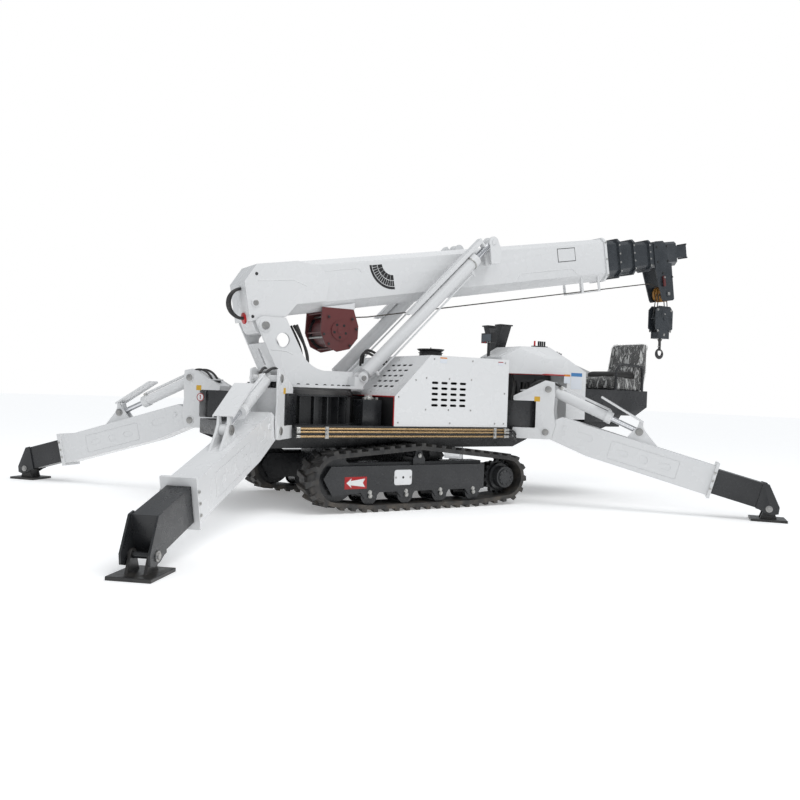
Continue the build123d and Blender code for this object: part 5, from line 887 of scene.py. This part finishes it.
def rope_part(number, points, body):
    """A straight run of the hoist rope through points (along, height) on the boom."""
    rope = Kit()
    rope.bar([on_boom(along, height, 0) for along, height in points], ROPE_RADIUS, 8)
    rope.done(f"rope_{number}", [rope_steel], body)


rope_part("base", [(0.790, -0.004), (1.15, ROPE_HEIGHT), (SECTION_ENDS[0], ROPE_HEIGHT)], "boom")
for i in range(3):
    rope_part(i + 2, [(SECTION_ENDS[i] - TRAVEL, ROPE_HEIGHT), (SECTION_ENDS[i + 1], ROPE_HEIGHT)],
              f"section_{i + 2}")
rope_part(5, [(SECTION_ENDS[3] - TRAVEL, ROPE_HEIGHT), *curve(6, lambda t: (
    SHEAVE_LEAD[0] + SHEAVE_LEAD[1] * t, ROPE_HEIGHT + SHEAVE_RISE * t * t * (3 - 2 * t)))], "section_5")

# Hook block: two slate cheeks over its sheaves, hung from the head on four falls of rope.
# The forged hook turns in its cross piece and has a sprung latch across the throat.
BLOCK_TOP, BLOCK_FACE, BLOCK_PIN_Z = 2.212, 0.0625, 2.115
BLOCK_BOLTS = ((0, BLOCK_PIN_Z), (-0.118, 2.165), (0.118, 2.165), (-0.110, 1.905), (0.110, 1.905),
               (0, 1.86))


def block_finish(centre, normal):
    return 1 if centre.z > BLOCK_TOP + 0.004 else 0


skin("hook_block", [slate_paint, rope_steel], 0.0015, block_finish)
skin("hook", [coat("hook_steel", (0.045, 0.045, 0.048, 1), (0.08, 0.078, 0.075, 1), 0.38, metal=0.5)],
     0.002)
block_x = sum(corner.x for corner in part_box("hook_block")) / 2
spots = [((block_x + dx, sign * BLOCK_FACE, z), out) for sign, out in SIDES for dx, z in BLOCK_BOLTS]
bolts("block_bolts", spots, zinc, "hook_block", (0.011, 0.008))
discs = Kit()
for sign, out in SIDES:
    discs.turned([(0.060, 0.0), (0.060, 0.002), (0.052, 0.003), (0.0, 0.003)],
                 facing((block_x, sign * (BLOCK_FACE - 0.0003), BLOCK_PIN_Z), out), 32)
discs.done("block_discs", [slate_paint], "hook_block")
hook_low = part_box("hook")[0]
latch = Kit()
LATCH, LATCH_PIN = ((0.052, 0.155), (0.118, 0.082)), ((0.046, 0.155), (0.060, 0.160))
for ends, radius, count in ((LATCH, 0.005, 10), (LATCH_PIN, 0.010, 12)):
    latch.bar([(hook_low.x + x, 0, hook_low.z + z) for x, z in ends], radius, count)
latch.done("hook_latch", [zinc], "hook")

# Outrigger legs: a white bracket turns on each corner arm and carries a box beam that a cylinder
# lifts. A black extension slides in the beam's mouth and stands on a pinned black steel foot.
foot_steel = coat("foot_steel", (0.014, 0.014, 0.015, 1), (0.04, 0.037, 0.034, 1), 0.34, patches=12)
yellow_label = coat("yellow_label", (0.72, 0.42, 0.03, 1), (0.68, 0.40, 0.03, 1), 0.4)
LEG_ANGLE, BEAM_DROP = math.radians(49.5), math.radians(14.8)
LOW_PIN, HIGH_PIN, ROD_EYE = (0.214, 0.703), (0.229, 1.116), (0.825, 0.260)
BRACKET_FACE, BEAM_FACE, EYE_FACE, FOOT_FACE = 0.116, 0.095, 0.052, 0.0905
SWING, FRAME_SHIFT = (1.320, 0.742), -0.74185
SWING_PIN_Z, SWING_CAP_Z, SWING_BOLT_CIRCLE, SWING_BOLTS = 1.096, 1.108, 0.035, (0.5, 2.6, 4.7)
STICKER_AT, STICKER = (0.125, 1.02), (0.055, 0.048, 0.003)
BEAM_COLLAR, COLLAR_SIDE, COLLAR_TOP = 1.560, (-0.045, 0.030, 0.105), (0.186, 0.05)
CORNERS = {"front_left": (-1, -1), "front_right": (-1, 1), "rear_left": (1, -1), "rear_right": (1, 1)}
for leg, (sx, sy) in CORNERS.items():
    for node in ("bracket", "beam", "extension", "foot", "cylinder"):
        skin(f"{leg}_{node}", [{"extension": black_paint, "foot": foot_steel}.get(node, white_paint)])
    ahead = Vector((sx * math.cos(LEG_ANGLE), sy * math.sin(LEG_ANGLE), 0))
    beside = Vector((-ahead.y, ahead.x, 0))
    faces = [(sign, beside * sign) for sign in (-1, 1)]
    base = Vector((sx * SWING[0] + FRAME_SHIFT, sy * SWING[1], 0))
    down_beam = ahead * math.cos(BEAM_DROP) - Vector((0, 0, math.sin(BEAM_DROP)))
    over_beam = ahead * math.sin(BEAM_DROP) + Vector((0, 0, math.cos(BEAM_DROP)))

    def at(s, z, w):
        """A point from its reach from the swing pin, its height and its place across the leg."""
        return base + ahead * s + beside * w + Vector((0, 0, z))

    def on_beam(s, t, w):
        """A point from its place along, over and across the beam from its lower pin."""
        return at(*LOW_PIN, w) + down_beam * s + over_beam * t

    high_pin, rod_eye = at(*HIGH_PIN, 0), on_beam(*ROD_EYE, 0)
    push = (rod_eye - high_pin).normalized()
    over = beside.cross(push)
    over = over if over.z > 0 else -over

    def leg_rod_finish(centre, normal):
        reach = centre - rod_eye
        return 0 if reach.dot(push) < -0.045 and abs(reach.dot(over)) < 0.030 else 1

    skin(f"{leg}_rod", [chrome, white_paint], 0.002, leg_rod_finish)
    bracket = Kit()
    for sign, out in faces:
        for pin in (LOW_PIN, HIGH_PIN):
            bracket.head(facing(at(*pin, sign * BRACKET_FACE), out), 0.044, 0.005)
            bracket.head(facing(at(*pin, sign * BRACKET_FACE), out), 0.032, 0.015, 28, 1, 0.004, 0.004)
        bracket.slab(rounded(*STICKER), 0.0010, facing(at(*STICKER_AT, sign * BRACKET_FACE), out), 2)
    bracket.head(facing(at(0, SWING_PIN_Z, 0), (0, 0, 1), ahead), 0.062, 0.012, 36, chamfer=0.006)
    bracket.done(f"{leg}_bracket_pins", [white_paint, pin_steel, yellow_label], f"{leg}_bracket",
                 "white_paint")
    circle = [polar(SWING_BOLT_CIRCLE, turn) for turn in SWING_BOLTS]
    top = [(at(s, SWING_CAP_Z, w), (0, 0, 1)) for s, w in circle]
    bolts(f"{leg}_bracket_bolts", top, zinc, f"{leg}_bracket", BOLT_8)
    beam = Kit()
    for sign, out in faces:
        beam.turned([(0.036, 0.0), (0.036, 0.005), (0.024, 0.006), (0.024, 0.012), (0.0, 0.012)],
                    facing(on_beam(*ROD_EYE, sign * EYE_FACE), out), 26, 1)
    beam.done(f"{leg}_beam_pins", [white_paint, pin_steel], f"{leg}_beam", "white_paint")
    collar = [(on_beam(BEAM_COLLAR, t, sign * (BEAM_FACE + 0.027)), out) for sign, out in faces
              for t in COLLAR_SIDE]
    collar += [(on_beam(BEAM_COLLAR, COLLAR_TOP[0], sign * COLLAR_TOP[1]), over_beam) for sign,
               out in faces]
    bolts(f"{leg}_collar_bolts", collar, zinc, f"{leg}_beam", BOLT_8)
    lines = Kit()
    for side, out in faces:
        start = high_pin + push * 0.085 + over * 0.050 + out * 0.018
        end = high_pin + push * (0.10 if side < 0 else 0.60) + over * 0.062 + out * 0.018
        union = end - over * 0.014
        lines.bar([start - over * 0.01, start + over * 0.022, end + over * 0.010, union], 0.0075, 10,
                  0 if side > 0 else 1)
        lines.plug(facing(union, over, push), 0.014, 0.024, 18, 1)

        def lead(t):
            spot = at(0.02 + 0.14 * t, 1.10 + 0.02 * math.sin(3 * t),
                      side * 0.05).lerp(start + over * 0.025, t * t)
            return spot + Vector((0, 0, 0.07 * math.sin(math.pi * t)))

        lines.bar(curve(14, lead), 0.011, 10, 2)
    lines.done(f"{leg}_cylinder_lines", [white_paint, zinc, rubber], f"{leg}_cylinder")
    foot_centre = Vector(joints[f"{leg}_foot"]["pos_m"])
    foot_pins = Kit()
    for sign, out in faces:
        foot_pins.turned([(0.030, 0.0), (0.030, 0.006), (0.018, 0.007), (0.018, 0.014), (0.0, 0.014)],
                         facing(foot_centre + out * FOOT_FACE, out), 24)
    foot_pins.done(f"{leg}_foot_pins", [pin_steel], f"{leg}_extension")
    if leg == "front_right":
        badge = facing(at(0.105, 0.93, BRACKET_FACE + 0.0002), beside)
DIGIT = [(-0.004, -0.020), (0.005, -0.020), (0.005, 0.020), (-0.002, 0.020), (-0.010, 0.012),
         (-0.004, 0.012)]
number = Kit()
number.head(badge, 0.040, 0.0010, 36)
number.head(badge, 0.032, 0.0015, 36, 1, 0.0010)
number.slab(DIGIT, 0.0021, badge)
number.done("leg_number", [red_paint, white_paint], "front_right_bracket")

# Studio: a pale floor that keeps the machine's shadow, soft light from large lamps and a white
# background, with the camera where the photographer stood, low at the machine's front corner.
FLOOR_REACH, FLOOR_Z = 60.0, -0.0005
floor_mesh = bpy.data.meshes.new("floor")
floor_corners = [(x * FLOOR_REACH, y * FLOOR_REACH, FLOOR_Z) for x,
                 y in ((-1, -1), (1, -1), (1, 1), (-1, 1))]
floor_mesh.from_pydata(floor_corners, [], [(0, 1, 2, 3)])
floor = linked("floor", floor_mesh)
pale = bpy.data.materials.new("pale_floor")
pale.use_nodes = True
dial(pale.node_tree.nodes["Principled BSDF"], {
    "Base Color": (0.96, 0.96, 0.96, 1), "Roughness": 0.8, "Specular IOR Level": 0.1,
    "Emission Color": (1, 1, 1, 1), "Emission Strength": 0.24})
floor_mesh.materials.append(pale)
world = bpy.data.worlds.new("white_studio")
world.use_nodes = True
sky = world.node_tree
dial(sky.nodes["Background"], {"Color": (1, 1, 1, 1), "Strength": 1.0})
lit = made(sky, "ShaderNodeBackground", {"Color": (0.93, 0.965, 1.0, 1), "Strength": 0.50})
seen = made(sky, "ShaderNodeLightPath", {}, "Is Camera Ray")
blend = made(sky, "ShaderNodeMixShader", {0: seen, 1: lit, 2: sky.nodes["Background"].outputs[0]})
dial(sky.nodes["World Output"], {"Surface": blend})
bpy.context.scene.world = world


def shown(name, data, place):
    """A lamp or camera in its place."""
    item = bpy.data.objects.new(name, data)
    item.matrix_world = place
    bpy.context.scene.collection.objects.link(item)
    return item


def lamp(name, place, aim, size, power):
    """A large soft lamp that looks at a point."""
    light = bpy.data.lights.new(name, "AREA")
    light.size, light.energy = size, power
    turn = (Vector(aim) - Vector(place)).to_track_quat("-Z", "Y").to_matrix().to_4x4()
    shown(name, light, Matrix.Translation(place) @ turn)


lamp("key", (-4.0, -9.0, 7.0), (0.2, -0.5, 0.9), 5.0, 115)
lamp("top", (0.5, 1.0, 9.0), (0.3, 0, 0.8), 7.0, 90)
SUN_FROM = Vector((0.25, -0.45, 0.86))
sun = bpy.data.lights.new("sun", "SUN")
sun.energy, sun.angle = 1.05, math.radians(35)
shown("sun", sun, SUN_FROM.to_track_quat("Z", "Y").to_matrix().to_4x4())

CAMERA = (-4.5641, -6.8103, 1.0368)
YAW, PITCH, ROLL, LENS = -31.295, -0.526, 1.917, 35.9
yaw, pitch, roll = (math.radians(turn) for turn in (YAW, PITCH, ROLL))
forward = Vector((-math.sin(yaw) * math.cos(pitch), math.cos(yaw) * math.cos(pitch), math.sin(pitch)))
right = Vector((math.cos(yaw), math.sin(yaw), 0))
up = right.cross(forward)
tilted_right = right * math.cos(roll) + up * math.sin(roll)
tilted_up = up * math.cos(roll) - right * math.sin(roll)
camera_data = bpy.data.cameras.new("camera")
camera_data.lens, camera_data.sensor_width = LENS, 36.0
bpy.context.scene.camera = shown("camera", camera_data, Matrix.Translation(CAMERA) @ Matrix(
    (tilted_right, tilted_up, -forward)).transposed().to_4x4())
bpy.context.scene.view_settings.view_transform = "Standard"
